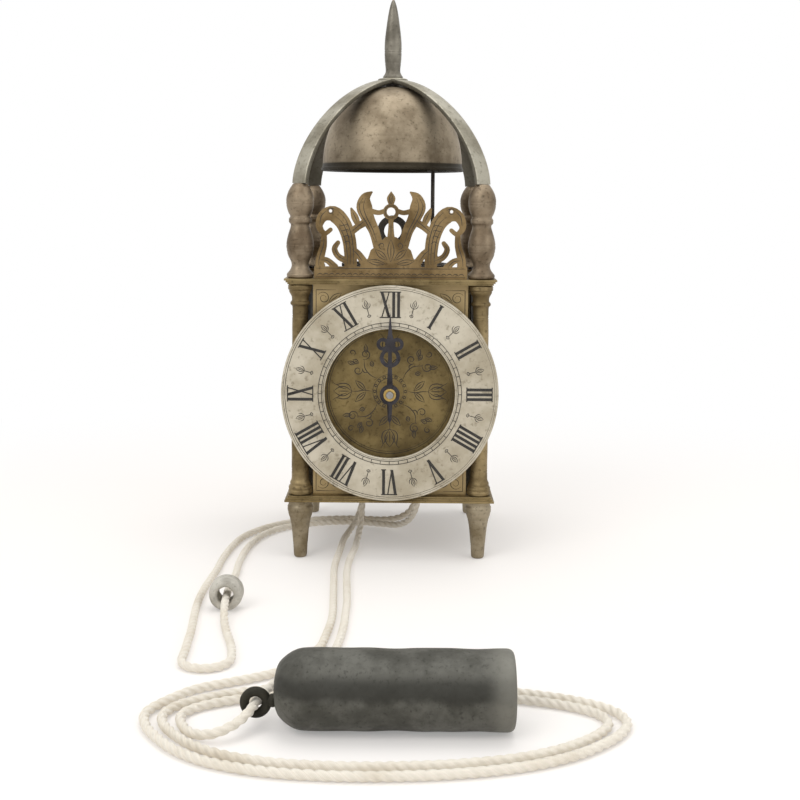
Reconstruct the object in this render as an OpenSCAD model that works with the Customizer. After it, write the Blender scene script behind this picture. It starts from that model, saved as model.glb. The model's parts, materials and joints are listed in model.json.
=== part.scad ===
// Lantern clock with one hour hand, verge and balance, count-wheel striking on a
// domed bell, and an endless rope whose driving weight lies on the floor in front.
// Millimetres, +Z up, floor at z = 0, the dial faces -Y, X = 0 is the middle.

/* [Case] */
// Width of the square base and top plates, mm
plate_w = 148; // [140:1:160]
// Thickness of the base and top plates, mm
plate_t = 4; // [3:0.5:6]
// Height of the feet under the base plate, mm
foot_h = 42; // [36:1:50]
// Height of the pillars between the plates, mm
pillar_h = 150; // [148:1:170]
// Distance of each pillar's axis from the middle, along X and along Y, mm
pillar_at = 63.5; // [62:0.5:66]
// Radius of a pillar's shaft at its middle, mm
pillar_r = 6; // [5:0.25:7]
// Height of the corner finials above the top plate, mm
finial_h = 66; // [58:1:74]
// Greatest radius of the corner finials, mm
finial_r = 9.8; // [8:0.2:10.5]
// Radius of the studs that join foot, pillar and finial, mm
stud_r = 3; // [2:0.25:3.5]

/* [Dial] */
// Outer radius of the chapter ring, mm
ring_r = 76; // [70:1:80]
// Inner radius of the chapter ring, mm
ring_in = 45.5; // [42:0.5:50]
// Thickness of the chapter ring, mm
ring_t = 1.8; // [1.2:0.1:3]
// Clearance between the plates' front edges and the chapter ring, mm
ring_clear = 0.4; // [0.3:0.1:2]
// Thickness of the dial plate and the back plate, mm
sheet_t = 2; // [1.5:0.25:3]
// Height of the raised wax numerals, mm
numeral_h = 0.2; // [0.1:0.05:0.4]
// Length of the hour hand's pointer from its centre, mm
hand_len = 58; // [50:1:66]

/* [Bell] */
// Radius of the bell at its lip, mm
bell_r = 53; // [45:1:55]
// Height of the bell from lip to crown, mm
bell_h = 62; // [52:1:62]
// Thickness of the bell, mm
bell_wall = 3; // [2:0.25:4]
// Height of the bell's lip above the top plate, mm
bell_up = 76; // [74:1:84]
// Width of the strap's four arms, mm
strap_w = 14; // [10:0.5:16]
// Thickness of the strap, mm
strap_t = 3.2; // [2.4:0.2:4]
// Length of the spire above the strap, mm
spire_h = 59; // [45:1:70]
// Greatest radius of the spire, mm
spire_r = 6.4; // [4.5:0.1:7]

/* [Frets] */
// Thickness of the three pierced frets, mm
fret_t = 1.6; // [1.2:0.2:2.4]
// Height of the frets, mm
fret_h = 61; // [52:1:62]

/* [Doors] */
// Thickness of the side doors, mm
door_t = 1.2; // [1:0.1:2]
// Radius of the doors' hinge pins, mm
door_pin_r = 1.2; // [1:0.1:1.4]

/* [Going train] */
// Height of both great arbors above the base plate, mm
great_up = 36; // [35.5:0.5:38]
// Teeth of the going great wheel
great_n = 56; // [56:1:56]
// Leaves of the second pinion
second_leaves = 7; // [7:1:7]
// Teeth of the second wheel
second_n = 54; // [54:1:54]
// Leaves of the crown-wheel pinion
crown_leaves = 6; // [6:1:6]
// Teeth of the crown wheel, an odd number
crown_n = 25; // [21:2:29]
// Radius of the crown wheel, mm
crown_r = 19.5; // [17:0.5:20]
// Outer radius of the balance wheel, mm
balance_r = 40; // [34:1:41]

/* [Striking train] */
// Teeth of the striking great wheel
strike_n = 78; // [78:1:78]
// Teeth of the hoop wheel
hoop_n = 60; // [60:1:60]
// Teeth of the warning wheel
warning_n = 54; // [54:1:54]
// Half the width of the fly's vane, mm
fly_r = 14; // [10:0.5:15]
// Radius of the count wheel's notched disc, mm
count_r = 31; // [30:0.5:32]

/* [Rope and weight] */
// Diameter of the rope, mm
rope_d = 5; // [4:0.5:5]
// Radius at which the rope runs on its sheaves, mm
sheave_r = 20.5; // [19:0.5:22]
// Radius of the lead weight, mm
weight_r = 19.5; // [17:0.5:22]
// Length of the lead weight, mm
weight_len = 116; // [100:1:120]

/* [Hidden] */
$fn = 64;

// running clearance of a shaft in its hole, and the clearance of fixed studs
run = 0.05;
slack = 0.1;

// heights of the frame
z_base = foot_h;
z0 = foot_h + plate_t;
z1 = z0 + pillar_h;
z2 = z1 + plate_t;
dial_z = z0 + 74;

// sheets that stand between the pillars keep clear of their bases and capitals
cap_r = pillar_r + 2.6;
sheet_half = pillar_at - cap_r - 0.4;
// the dial plate's front face, the ring's back face and its front face
dial_y = -pillar_at - 0.5;
ring_y = -plate_w / 2 - ring_clear;
ring_front = ring_y - ring_t;
back_y = pillar_at - 1.5;

// movement bars, front faces and thicknesses
bar_half = 11;
bar_t = 2.5;
front_bar_y = -46;
middle_bar_y = -6;
middle_bar_t = 4;
rear_bar_y = 38;
tenon_half = 5;
blind = 1.6;

// gear teeth as [height in modules, half width in pitches]
TOOTH = [[-1.35, -0.258], [0, -0.23], [1.15, -0.05], [1.15, 0.05], [0, 0.23], [-1.35, 0.258]];
LEAF = [[-1.6, -0.18], [0, -0.18], [0.6, -0.06], [0.6, 0.06], [0, 0.18], [-1.6, 0.18]];

// going train, upwards on the middle line
great_m = 1.2;
second_m = 1.0;
great_z = z0 + great_up;
second_z = great_z + great_m * (great_n + second_leaves) / 2;
crown_z = second_z + second_m * (second_n + crown_leaves) / 2;
hour_n = 72;
report_leaves = 6;
report_m = 2 * (dial_z - great_z) / (hour_n + report_leaves);
pivot_r = 0.9;
great_shaft_r = 1.6;
going_wheel_y = -26;
going_sheave_y = -15;
strike_sheave_y = 14;
second_wheel_y = -39;
crown_web_y = -30;
crown_tip_y = -16;
hour_wheel_y = -53;

// verge, beside the crown wheel's arbor
verge_x = 3;
verge_y = -11.5;
verge_r = 1.3;
pallet_r = crown_r - 1;
pallet_len = 3.9;
potence_z = second_z + 2.8;
balance_z = z2 + 6;
cock_z = balance_z + 6.2;

// striking train, upwards on the middle line
strike_m = 0.85;
hoop_m = 0.9;
warning_m = 0.7;
strike_leaves = 6;
hoop_z = great_z + strike_m * (strike_n + strike_leaves) / 2;
warning_z = hoop_z + hoop_m * (hoop_n + strike_leaves) / 2;
fly_z = warning_z + warning_m * (warning_n + strike_leaves) / 2;
strike_wheel_y = 26;
hoop_wheel_y = 2;
warning_wheel_y = 30;
count_n = 48;
count_leaves = 8;
count_m = 1.1;
count_z = great_z + count_m * (count_n + count_leaves) / 2;
count_wheel_y = 44;
count_disc_y = 50;

// levers
hammer_x = 31;
hammer_y = 30;
hammer_z = z0 + 66;
lever_x = -38;
detent_z = crown_z;
lifting_z = crown_z - 22;
lever_r = 1.8;

// bell cage
bell_z = z2 + bell_up;
crown_top = bell_z + bell_h;
washer_t = 2.8;
// the bell's crown and the strap curve away from the nut and the washer by this much
nut_seat = 0.25;
strap_in = crown_top + washer_t;
strap_top = strap_in + strap_t;
strap_a = pillar_at * sqrt(2) + strap_t / 2;
strap_spring = z2 + finial_h;
arch_z = strap_spring + 6;
stem_r = 2.5;

// rope
rope_r = rope_d / 2;
fall_x = sheave_r;
weight_y = -350;
weight_x = 6;
eye_r = 5.4;
eye_wire = 2.4;
eye_x = weight_x - weight_len / 2 - 9;
eye_z = 12.5;
eye_low = eye_z - (eye_r - eye_wire - rope_r);

// ---------------------------------------------------------------- helpers

// a 2D shape in the XZ plane, from y to y + t
module upright(y, t) translate([0, y + t, 0]) rotate([90, 0, 0]) linear_extrude(t) children();

// a shaft along Y, from y to y + t, at x and z
module shaft(x, z, y, t, r) translate([x, y, z]) rotate([-90, 0, 0]) cylinder(h = t, r = r);

// outline of a toothed wheel or pinion, its first tooth at angle a0
function toothed(n, m, form, a0) = [
    for (i = [0:n - 1]) for (q = form)
        let (a = a0 + (i + q[1]) * 360 / n) (n / 2 + q[0]) * m * [cos(a), sin(a)]
];

// crossed-out wheel: toothed rim, spokes and hub, with a bore
module wheel_2d(n, m, a0, rim, spokes, spoke_w, hub_r, bore) {
    root = (n / 2 - 1.35) * m;
    difference() {
        union() {
            difference() {
                polygon(toothed(n, m, TOOTH, a0));
                circle(r = root - rim);
            }
            circle(r = hub_r);
            for (i = [0:spokes - 1]) rotate(i * 360 / spokes + 45)
                translate([0, -spoke_w / 2]) square([root - rim / 2, spoke_w]);
        }
        circle(r = bore);
    }
}

module wheel(z, y, t, n, m, a0, rim, spokes, spoke_w, hub_r, bore)
    translate([0, 0, z]) upright(y, t) wheel_2d(n, m, a0, rim, spokes, spoke_w, hub_r, bore);

module pinion(z, y, t, n, m, a0)
    translate([0, 0, z]) upright(y, t) polygon(toothed(n, m, LEAF, a0));

// square plate with a stepped moulding; the widest step is at the side named by up
module moulded_plate(z, up) for (i = [0:2]) {
    w = plate_w - 2.2 * i;
    t = plate_t * (i + 1) / 3;
    translate([-w / 2, -w / 2, up ? z + plate_t - t : z]) cube([w, w, t]);
}

module at_corners() for (sx = [-1, 1], sy = [-1, 1])
    translate([sx * pillar_at, sy * pillar_at, 0]) children();

module corner(sx, sy) translate([sx * pillar_at, sy * pillar_at, 0]) children();

// slots for the tenons of the bars and of the dial plate
module bar_slots(z) {
    for (b = [[front_bar_y, bar_t], [middle_bar_y, middle_bar_t], [rear_bar_y, bar_t]])
        translate([-tenon_half - slack, b[0] - slack, z - 1])
            cube([2 * (tenon_half + slack), b[1] + 2 * slack, plate_t + 2]);
}

// ---------------------------------------------------------------- frame

dial_tenon_x = 30;
dial_tenon_w = 8;

module base_plate() {
    color([0.42, 0.35, 0.22]) difference() {
        moulded_plate(z_base, false);
        at_corners() translate([0, 0, z_base - 1]) cylinder(h = plate_t + 2, r = stud_r + run);
        bar_slots(z_base);
        for (sx = [-1, 1]) {
            for (y = [going_sheave_y, strike_sheave_y])
                translate([sx * fall_x, y, z_base - 1]) cylinder(h = plate_t + 2, r = rope_r + 2.5);
            translate([sx * dial_tenon_x - dial_tenon_w / 2 - slack, dial_y - slack, z_base - 1])
                cube([dial_tenon_w + 2 * slack, sheet_t + 2 * slack, plate_t + 2]);
            translate([sx * pillar_at, door_hinge_y, z0 - 3])
                cylinder(h = 4, r = door_pin_r + run);
        }
    }
}

fret_screw_x = 30;
fret_y = pillar_at + 3.9;
fret_tab = 9;

module fret_places() for (a = [0, 90, -90]) rotate(a) children();

module fret_screw_places() fret_places() for (sx = [-1, 1])
    translate([sx * fret_screw_x, -fret_y + fret_tab / 2 + 1, 0]) children();

// slot for the swinging hammer stem
hammer_turn = 8;
slot_reach = (z2 - hammer_z) * sin(hammer_turn) + 3;

module top_plate() {
    color([0.42, 0.35, 0.22]) difference() {
        moulded_plate(z1, true);
        at_corners() translate([0, 0, z1 - 1]) cylinder(h = plate_t + 2, r = stud_r + run);
        bar_slots(z1);
        translate([verge_x, verge_y, z1 - 1]) cylinder(h = plate_t + 2, r = verge_r + 0.8);
        translate([hammer_x - slot_reach, hammer_y - 2.6, z1 - 1])
            cube([slot_reach + 2.4, 5.2, plate_t + 2]);
        fret_screw_places() translate([0, 0, z1 + 0.8]) cylinder(h = plate_t, r = 1.5 + run);
        for (sx = [-1, 1]) {
            translate([sx * pillar_at, door_hinge_y, z1 - 1]) cylinder(h = 4, r = door_pin_r + run);
            translate([sx * 6, hoop_y + 6.5, z1 + 0.8]) cylinder(h = plate_t, r = 1.5 + run);
        }
    }
}

// turned foot: broad under the plate, tapering to a small toe, with its stud
module foot() {
    color([0.50, 0.46, 0.39]) rotate_extrude() polygon([
        [0, 0], [4.0, 0], [4.7, 1.5], [4.9, 6], [5.3, foot_h * 0.26], [6.1, foot_h * 0.50],
        [7.3, foot_h * 0.66], [8.6, foot_h * 0.76], [9.2, foot_h * 0.83], [9.2, foot_h * 0.89],
        [8.4, foot_h * 0.92], [8.4, foot_h - 1.4], [9.0, foot_h - 1.4], [9.0, foot_h],
        [stud_r, foot_h], [stud_r, z0 + 8], [0, z0 + 8]
    ]);
}

// turned pillar with moulded base and capital, bored for the studs at both ends
module pillar() {
    h = pillar_h;
    color([0.44, 0.36, 0.22]) translate([0, 0, z0]) difference() {
        rotate_extrude() polygon([
            [0, 0], [cap_r, 0], [cap_r, 3], [cap_r - 0.6, 3.4], [cap_r - 0.1, 4.8],
            [cap_r - 0.6, 6.2], [pillar_r + 1, 6.8], [pillar_r + 1.5, 8.2], [pillar_r + 1, 9.4],
            [pillar_r + 0.3, 10.6], [pillar_r + 0.1, 14], [pillar_r + 0.2, h * 0.3],
            [pillar_r, h * 0.55], [pillar_r - 0.5, h - 19], [pillar_r - 0.5, h - 15.4],
            [pillar_r + 0.9, h - 14.6], [pillar_r + 0.9, h - 12.8], [pillar_r - 0.3, h - 12],
            [pillar_r - 0.2, h - 8.8], [pillar_r + 1.4, h - 6.4], [pillar_r + 1.9, h - 5],
            [pillar_r + 1.5, h - 4.2], [cap_r, h - 4.2], [cap_r, h], [0, h]
        ]);
        translate([0, 0, -1]) cylinder(h = 9.5, r = stud_r + run);
        translate([0, 0, h - 8.5]) cylinder(h = 9.5, r = stud_r + run);
    }
}

// turned corner finial: disc, urn, rings and a flattened ball that carries the strap
module finial() {
    r = finial_r;
    h = finial_h;
    color([0.47, 0.43, 0.37]) difference() {
        translate([0, 0, z2]) rotate_extrude() polygon([
            [0, -plate_t - 8], [stud_r, -plate_t - 8], [stud_r, 0], [r - 0.3, 0], [r - 0.3, 3],
            [r - 1.4, 4], [r - 3.2, 6.4], [r - 4, 9], [r - 3.4, h * 0.18], [r - 1.2, h * 0.24],
            [r - 0.1, h * 0.32], [r - 0.2, h * 0.38], [r - 1.4, h * 0.46], [r - 3.2, h * 0.54],
            [r - 3.4, h * 0.57], [r - 1.8, h * 0.59], [r - 1.8, h * 0.63], [r - 3.2, h * 0.65],
            [r - 1.6, h * 0.69], [r - 0.4, h * 0.75], [r, h * 0.81], [r - 0.5, h * 0.87],
            [r - 2, h * 0.93], [r - 4.2, h * 0.98], [r - 5, h], [0, h]
        ]);
        translate([0, 0, strap_spring - 6]) cylinder(h = 7, r = 1.5 + slack);
    }
}

// ---------------------------------------------------------------- bell and cage

// quarter of an ellipse as points, a half across and b high
function quarter(a, b, n) = [for (i = [0:n]) [a * cos(90 * i / n), b * sin(90 * i / n)]];

module arch_2d() difference() {
    union() {
        polygon(concat([[0, 0]], quarter(strap_a, strap_top - arch_z, 20)));
        translate([0, -6]) square([strap_a, 6]);
    }
    polygon(concat([[0, 0]], quarter(strap_a - strap_t, strap_in - arch_z, 20)));
    translate([-1, -7]) square([strap_a - strap_t + 1, 7.01]);
}

module bell_strap() {
    color([0.54, 0.51, 0.45]) difference() {
        union() {
            for (i = [0:3]) rotate(45 + 90 * i) translate([0, strap_w / 2, arch_z])
                rotate([90, 0, 0]) linear_extrude(strap_w) arch_2d();
            translate([0, 0, strap_in]) cylinder(h = strap_t, r = strap_w * 0.8);
            at_corners() translate([0, 0, strap_spring - 5]) cylinder(h = 5.01, r = 1.5);
        }
        translate([0, 0, strap_in - 1]) cylinder(h = strap_t + 2, r = stem_r + slack);
    }
}

// bell wall: a full dome that flares a little at its lip
function dome(r, h) = [
    for (i = [0:22]) let (a = 90 * i / 22) [r * pow(cos(a), 0.82), h * pow(sin(a), 0.92)]
];

module bell() {
    r = bell_r;
    w = bell_wall;
    color([0.55, 0.51, 0.44]) translate([0, 0, bell_z]) difference() {
        rotate_extrude($fn = 96) polygon(concat([[0, 0], [r, 0], [r, 1.2], [r - 0.9, 3]],
            [for (q = dome(r - 1, bell_h)) if (q[1] > 3.5) q]));
        translate([0, 0, -0.01]) rotate_extrude($fn = 96)
            polygon(concat([[0, -1], [r - w + 0.8, -1]], dome(r - 1 - w, bell_h - w)));
        cylinder(h = bell_h + 1, r = stem_r + slack);
    }
}

// nut under the bell's crown and the washer between bell and strap
module bell_nut() {
    color([0.30, 0.27, 0.22]) {
        translate([0, 0, crown_top - bell_wall - nut_seat - 4]) difference() {
            cylinder(h = 4, r = 6, $fn = 6);
            translate([0, 0, -1]) cylinder(h = 6, r = stem_r + slack);
        }
        translate([0, 0, crown_top]) difference() {
            cylinder(h = washer_t - nut_seat, r = 5);
            translate([0, 0, -1]) cylinder(h = washer_t + 2, r = stem_r + slack);
        }
    }
}

module spire() {
    h = spire_h;
    r = spire_r;
    color([0.53, 0.50, 0.45]) translate([0, 0, strap_top]) rotate_extrude() polygon([
        [0, -strap_t - washer_t - bell_wall - 7], [stem_r, -strap_t - washer_t - bell_wall - 7],
        [stem_r, 0], [r + 1.1, 0], [r + 1.1, 1.6], [r + 0.2, 2.6], [r - 1.1, 5],
        [r - 1, 8], [r - 0.3, h * 0.22], [r, h * 0.34], [r - 0.3, h * 0.48],
        [r - 1.3, h * 0.64], [r - 2.7, h * 0.79], [r - 4.2, h * 0.92], [0.5, h * 0.985], [0, h]
    ]);
}

// ---------------------------------------------------------------- frets

// band that follows a smooth line of [x, z, width], with round ends, as one outline
function heading(p, i) = let (d = at(p, i + 1) - at(p, i - 1)) atan2(d[1], d[0]);
function off_line(q, a) = [q[0], q[1]] + q[2] / 2 * [cos(a), sin(a)];
function edge(p, turn) = [for (i = [0:len(p) - 1]) off_line(p[i], heading(p, i) + turn)];
function cap(q, a) = [for (k = [1:5]) off_line(q, a - 30 * k)];
module stroke(line, parts = 4) {
    p = smooth(line, parts);
    last = len(p) - 1;
    right = edge(p, -90);
    polygon(concat(edge(p, 90), cap(p[last], heading(p, last) + 90),
        [for (i = [last:-1:0]) right[i]], cap(p[0], heading(p, 0) - 90)));
}

// middle of the fret: stem and bud
FRET_MIDDLE = [
    [[0, 26, 6], [0, 34, 4], [0, 41.6, 3.4]],
    [[0, 51, 3], [0, 56, 6], [0, 60.2, 1]]
];
// half of the fret: leaf, dolphin, side stem, tendrils, small leaf
FRET_LINES = [
    [[8.6, 22, 7], [11.6, 33, 7.4], [16, 42, 9], [18.6, 50, 11], [17.6, 56.5, 7], [13.6, 60, 1.6]],
    [[28, 6, 8.4], [28, 18, 9], [29.5, 29, 9.6], [33.5, 39, 10.4], [40.3, 45, 11],
     [47.2, 43, 7.6], [49.8, 36, 4.6], [46, 31.4, 3.4], [42, 34, 3]],
    [[49.4, 5, 6.6], [49.1, 14, 5.8], [46.8, 23, 4.6], [46.4, 30.8, 3.6]],
    [[16.5, 40, 5.6], [22.5, 36.5, 4.8], [29.5, 31, 5.2]],
    [[4.9, 47, 3.4], [9, 46, 3.4], [15.5, 47.5, 3.8]],
    [[19, 12, 5.6], [23, 17.5, 4.8], [28, 21, 4.8]],
    [[28, 11.6, 4.8], [36, 15, 4.2], [39.2, 20.6, 4], [36.8, 25, 3.2]],
    [[39, 8, 5], [44, 12.5, 4], [49, 13.4, 3.8]],
    [[22.6, 37, 3.4], [25.2, 43, 5], [27.6, 48.6, 1.6]]
];

module fret_half() {
    difference() {
        for (line = FRET_LINES) stroke(line);
        translate([42, 47]) circle(r = 1.1, $fn = 24);
    }
    polygon([[-0.5, 7.5], [21.5, 7.5], [20.5, 12], [16, 14], [14, 20], [9, 24], [4, 29], [-0.5, 30]]);
}

module fret_2d() {
    w = pillar_at - finial_r - 0.4;
    band_h = 8.5;
    difference() {
        scale([1, fret_h / 61]) union() {
            for (s = [0, 1]) mirror([s, 0]) fret_half();
            for (line = FRET_MIDDLE) stroke(line);
            translate([0, 46.6]) circle(r = 5.6, $fn = 48);
            translate([-w, 0]) square([2 * w, band_h]);
        }
        translate([0, 46.6 * fret_h / 61]) circle(r = 3, $fn = 32);
    }
}

// one fret, with the two tabs by which it is screwed to the top plate
module fret(angle) {
    color([0.44, 0.36, 0.23]) rotate(angle) translate([0, 0, z2]) {
        upright(-fret_y - fret_t, fret_t) fret_2d();
        for (sx = [-1, 1]) difference() {
            translate([sx * fret_screw_x - 5, -fret_y - fret_t / 2, 0])
                cube([10, fret_tab + fret_t / 2, 1.6]);
            translate([sx * fret_screw_x, -fret_y + fret_tab / 2 + 1, -1])
                cylinder(h = 4, r = 1.5 + slack);
        }
    }
}

module fret_screws() {
    color([0.33, 0.31, 0.29]) fret_screw_places() translate([0, 0, z2 + 1.6]) difference() {
        union() {
            cylinder(h = 1.8, r = 3);
            translate([0, 0, -4.6]) cylinder(h = 4.7, r = 1.5);
        }
        translate([-4, -0.4, 1]) cube([8, 0.8, 2]);
    }
}

// ---------------------------------------------------------------- dial

// the ring's feet stand on the dial plate, on the diagonals
foot_at = (ring_in + 14) * sin(45);

module dial_plate() {
    color([0.43, 0.35, 0.22]) difference() {
        upright(dial_y, sheet_t) difference() {
            union() {
                translate([-sheet_half, z0]) square([2 * sheet_half, pillar_h]);
                for (sx = [-1, 1]) translate([sx * dial_tenon_x - dial_tenon_w / 2, z_base])
                    square([dial_tenon_w, plate_t + 1]);
            }
            translate([0, dial_z]) circle(r = 5.2);
        }
        for (sx = [-1, 1], sz = [-1, 1])
            shaft(sx * foot_at, dial_z + sz * foot_at, dial_y - 1, sheet_t + 2, 1.8 + slack);
    }
}

module chapter_ring() {
    color([0.72, 0.69, 0.62]) {
        translate([0, 0, dial_z]) upright(ring_front, ring_t) difference() {
            circle(r = ring_r, $fn = 128);
            circle(r = ring_in, $fn = 128);
        }
        for (sx = [-1, 1], sz = [-1, 1]) {
            shaft(sx * foot_at, dial_z + sz * foot_at, ring_y - 0.2, dial_y - ring_y + 0.2, 2.6);
            shaft(sx * foot_at, dial_z + sz * foot_at, dial_y - 0.1, sheet_t + 0.9, 1.8);
        }
    }
}

// numerals as strokes: [place across in stroke steps, lean]; 5 and 10 are V and X
ROMAN = [
    ["I"], ["I", "I"], ["I", "I", "I"], ["I", "I", "I", "I"], ["V"], ["V", "I"], ["V", "I", "I"],
    ["V", "I", "I", "I"], ["I", "X"], ["X"], ["X", "I"], ["X", "I", "I"]
];
numeral_len = (ring_r - ring_in) * 0.58;
numeral_mid = ring_in + (ring_r - ring_in) * 0.56;
step_i = 3.4;
step_v = 8;
function stroke_w(c) = c == "I" ? step_i : step_v;
function width_to(list, k) = k == 0 ? 0 : stroke_w(list[k - 1]) + width_to(list, k - 1);

module leaning(lean, w) polygon([
    [-lean - w / 2, numeral_len / 2], [-lean + w / 2, numeral_len / 2],
    [lean + w / 2, -numeral_len / 2], [lean - w / 2, -numeral_len / 2]
]);

module letter(c) {
    half = numeral_len / 2;
    if (c == "I") leaning(0, 2);
    if (c == "V") {
        translate([-1.35, 0]) leaning(1.35, 2);
        translate([1.35, 0]) leaning(-1.35, 0.8);
    }
    if (c == "X") {
        leaning(2.5, 2);
        leaning(-2.5, 0.8);
    }
    for (s = [-1, 1]) if (!(c == "V" && s < 0))
        translate([-stroke_w(c) / 2, s * half - 0.35]) square([stroke_w(c) + 0.01, 0.7]);
}

module numerals() {
    color([0.10, 0.09, 0.08]) translate([0, 0, dial_z])
        upright(ring_front - numeral_h, numeral_h) intersection() {
            circle(r = ring_r);
            numerals_2d();
        }
}

module numerals_2d() {
    for (h = [1:12]) rotate(-30 * h) translate([0, numeral_mid]) {
        list = ROMAN[h - 1];
        total = width_to(list, len(list));
        for (k = [0:len(list) - 1])
            translate([width_to(list, k) + stroke_w(list[k]) / 2 - total / 2, 0])
                letter(list[k]);
    }
    for (r = [ring_in + 2.2, ring_in + 4.6]) difference() {
        circle(r = r + 0.2, $fn = 128);
        circle(r = r - 0.2, $fn = 128);
    }
    for (q = [0:47]) rotate(q * 7.5) translate([-0.2, ring_in + 2.2]) square([0.4, 2.4]);
}

pipe_r = 4.2;
stud_rad = 2.5;
hand_y = ring_front - 3.4;
hand_t = 1.2;
stud_tip_y = hand_y - 2.4;

module hour_hand() {
    color([0.11, 0.11, 0.14]) translate([0, 0, dial_z]) upright(hand_y, hand_t) difference() {
        union() {
            circle(r = 7);
            polygon([[-2.2, 5], [-1.3, 20.2], [1.3, 20.2], [2.2, 5]]);
            difference() {
                translate([0, 26]) circle(r = 7);
                translate([0, 26]) circle(r = 4.4);
            }
            polygon([[-1.5, 20.8], [-1.2, 31.7], [1.2, 31.7], [1.5, 20.8]]);
            for (s = [-1, 1]) translate([s * 5, 35.4]) difference() {
                circle(r = 4.4);
                circle(r = 2);
            }
            polygon([[-3.4, 36], [0, 31], [3.4, 36], [1.5, 42], [0, hand_len], [-1.5, 42]]);
            polygon([[-2, -5], [2, -5], [1.2, -18], [0, -20], [-1.2, -18]]);
        }
        circle(r = stud_rad + slack);
    }
}

module hand_washer() {
    color([0.45, 0.37, 0.22]) difference() {
        shaft(0, dial_z, hand_y - 1.6, 1.4, 4.4);
        shaft(0, dial_z, hand_y - 2.6, 4, stud_rad + slack);
    }
}

// ---------------------------------------------------------------- doors and back

door_hinge_y = pillar_at - cap_r - 3.9;
door_gap = 0.5;

module door(side) {
    x = side * pillar_at;
    half = pillar_at - cap_r - 0.9;
    color([0.46, 0.38, 0.24]) {
        translate([x - door_t / 2, -half, z0 + door_gap])
            cube([door_t, 2 * half, pillar_h - 2 * door_gap]);
        for (z = [z0 - 2.8, z1 - door_gap - 3]) translate([x, door_hinge_y, z])
            cylinder(h = 6.3, r = door_pin_r);
        translate([x, door_hinge_y, z0 + door_gap + 4]) cylinder(h = pillar_h - 9, r = 1.6);
        translate([x, -half + 9, dial_z]) rotate([0, side * 90, 0]) rotate_extrude() polygon([
            [0, 0], [3.4, 0], [3.4, door_t / 2 + 0.9], [1.4, door_t / 2 + 1.6],
            [1.5, 4], [3, 5.4], [3.6, 7], [2.9, 8.6], [0, 9.4]
        ]);
    }
}

module left_door() door(-1);
module right_door() door(1);

spur_x = 46;
// the spurs reach as far behind the case as the hand's stud stands in front of it
spur_len = -stud_tip_y - back_y;
spur_z = z0 + 14;

module back_plate() {
    color([0.28, 0.26, 0.24]) {
        upright(back_y, sheet_t) difference() {
            translate([-sheet_half, z0]) square([2 * sheet_half, pillar_h]);
            for (sx = [-1, 1]) translate([sx * spur_x, spur_z]) circle(r = 1.9);
        }
        for (sx = [-1, 1]) translate([sx * spur_x, back_y, spur_z]) rotate([-90, 0, 0]) wall_spur();
    }
}

// pointed spur, riveted to the back plate, that bites the wall
module wall_spur() rotate_extrude() polygon([
    [0, 0], [2, 0], [2, sheet_t - 0.1], [4.5, sheet_t - 0.1], [4.5, sheet_t + 1.5],
    [2.6, sheet_t + 2.2], [2.2, spur_len * 0.5], [0.4, spur_len - 0.4], [0, spur_len]
]);

// iron hoop that hangs the clock on a wall hook
hoop_y = pillar_at - 3;
hoop_hole_r = 7;
hoop_hole_z = z2 + 30;

module hanging_hoop() {
    color([0.26, 0.24, 0.22]) {
        upright(hoop_y + 11 - bar_t, bar_t) difference() {
            union() {
                translate([0, hoop_hole_z]) circle(r = 12.5);
                polygon([[-14, z2], [14, z2], [9, hoop_hole_z], [-9, hoop_hole_z]]);
            }
            translate([0, hoop_hole_z]) circle(r = hoop_hole_r);
        }
        for (sx = [-1, 1]) {
            difference() {
                translate([sx * 6 - 6, hoop_y + 2, z2]) cube([12, 8.8, 2.4]);
                translate([sx * 6, hoop_y + 6.5, z2 - 1]) cylinder(h = 5, r = 1.5 + slack);
            }
            translate([sx * 6, hoop_y + 6.5, z1 + 1.2]) cylinder(h = z2 - z1 + 1.3, r = 1.5);
            translate([sx * 6, hoop_y + 6.5, z2 + 2.3]) cylinder(h = 1.6, r = 2.6);
        }
    }
}

// ---------------------------------------------------------------- movement bars

module bar_outline(arms) {
    translate([-bar_half, z0]) square([2 * bar_half, pillar_h]);
    translate([-tenon_half, z_base]) square([2 * tenon_half, z2 - z_base]);
    if (arms) {
        translate([lever_x - 6, detent_z - 5]) square([-lever_x, 10]);
        translate([lever_x - 6, lifting_z - 6]) square([12, detent_z - lifting_z + 6]);
    }
}

module hole(x, z, r) translate([x, z]) circle(r = r + run);

module front_bar() {
    color([0.45, 0.42, 0.38]) upright(front_bar_y, bar_t) difference() {
        bar_outline(true);
        hole(0, great_z, great_shaft_r);
        hole(0, second_z, pivot_r);
        hole(0, crown_z, pivot_r);
        hole(lever_x, detent_z, pivot_r);
        hole(lever_x, lifting_z, lever_r);
    }
}

module hammer_arm_2d() translate([0, hammer_z - 5]) square([hammer_x + 6, 10]);

module middle_bar() {
    rear = middle_bar_y + middle_bar_t;
    color([0.45, 0.42, 0.38]) difference() {
        union() {
            upright(middle_bar_y, middle_bar_t) {
                bar_outline(false);
                hammer_arm_2d();
            }
            // potence that carries the verge's foot
            translate([verge_x - 4.5, verge_y - 3.5, potence_z])
                cube([9, middle_bar_y - verge_y + 3.6, 2.4]);
        }
        translate([verge_x, verge_y, potence_z + 0.8]) cylinder(h = 3, r = pivot_r + run);
        for (z = [great_z, second_z, crown_z])
            shaft(0, z, middle_bar_y - 1, 1 + blind, pivot_r + run);
        for (p = [[0, great_z], [0, hoop_z], [0, warning_z], [0, fly_z], [hammer_x, hammer_z]])
            shaft(p[0], p[1], rear - blind, 1 + blind, pivot_r + run);
    }
}

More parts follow.
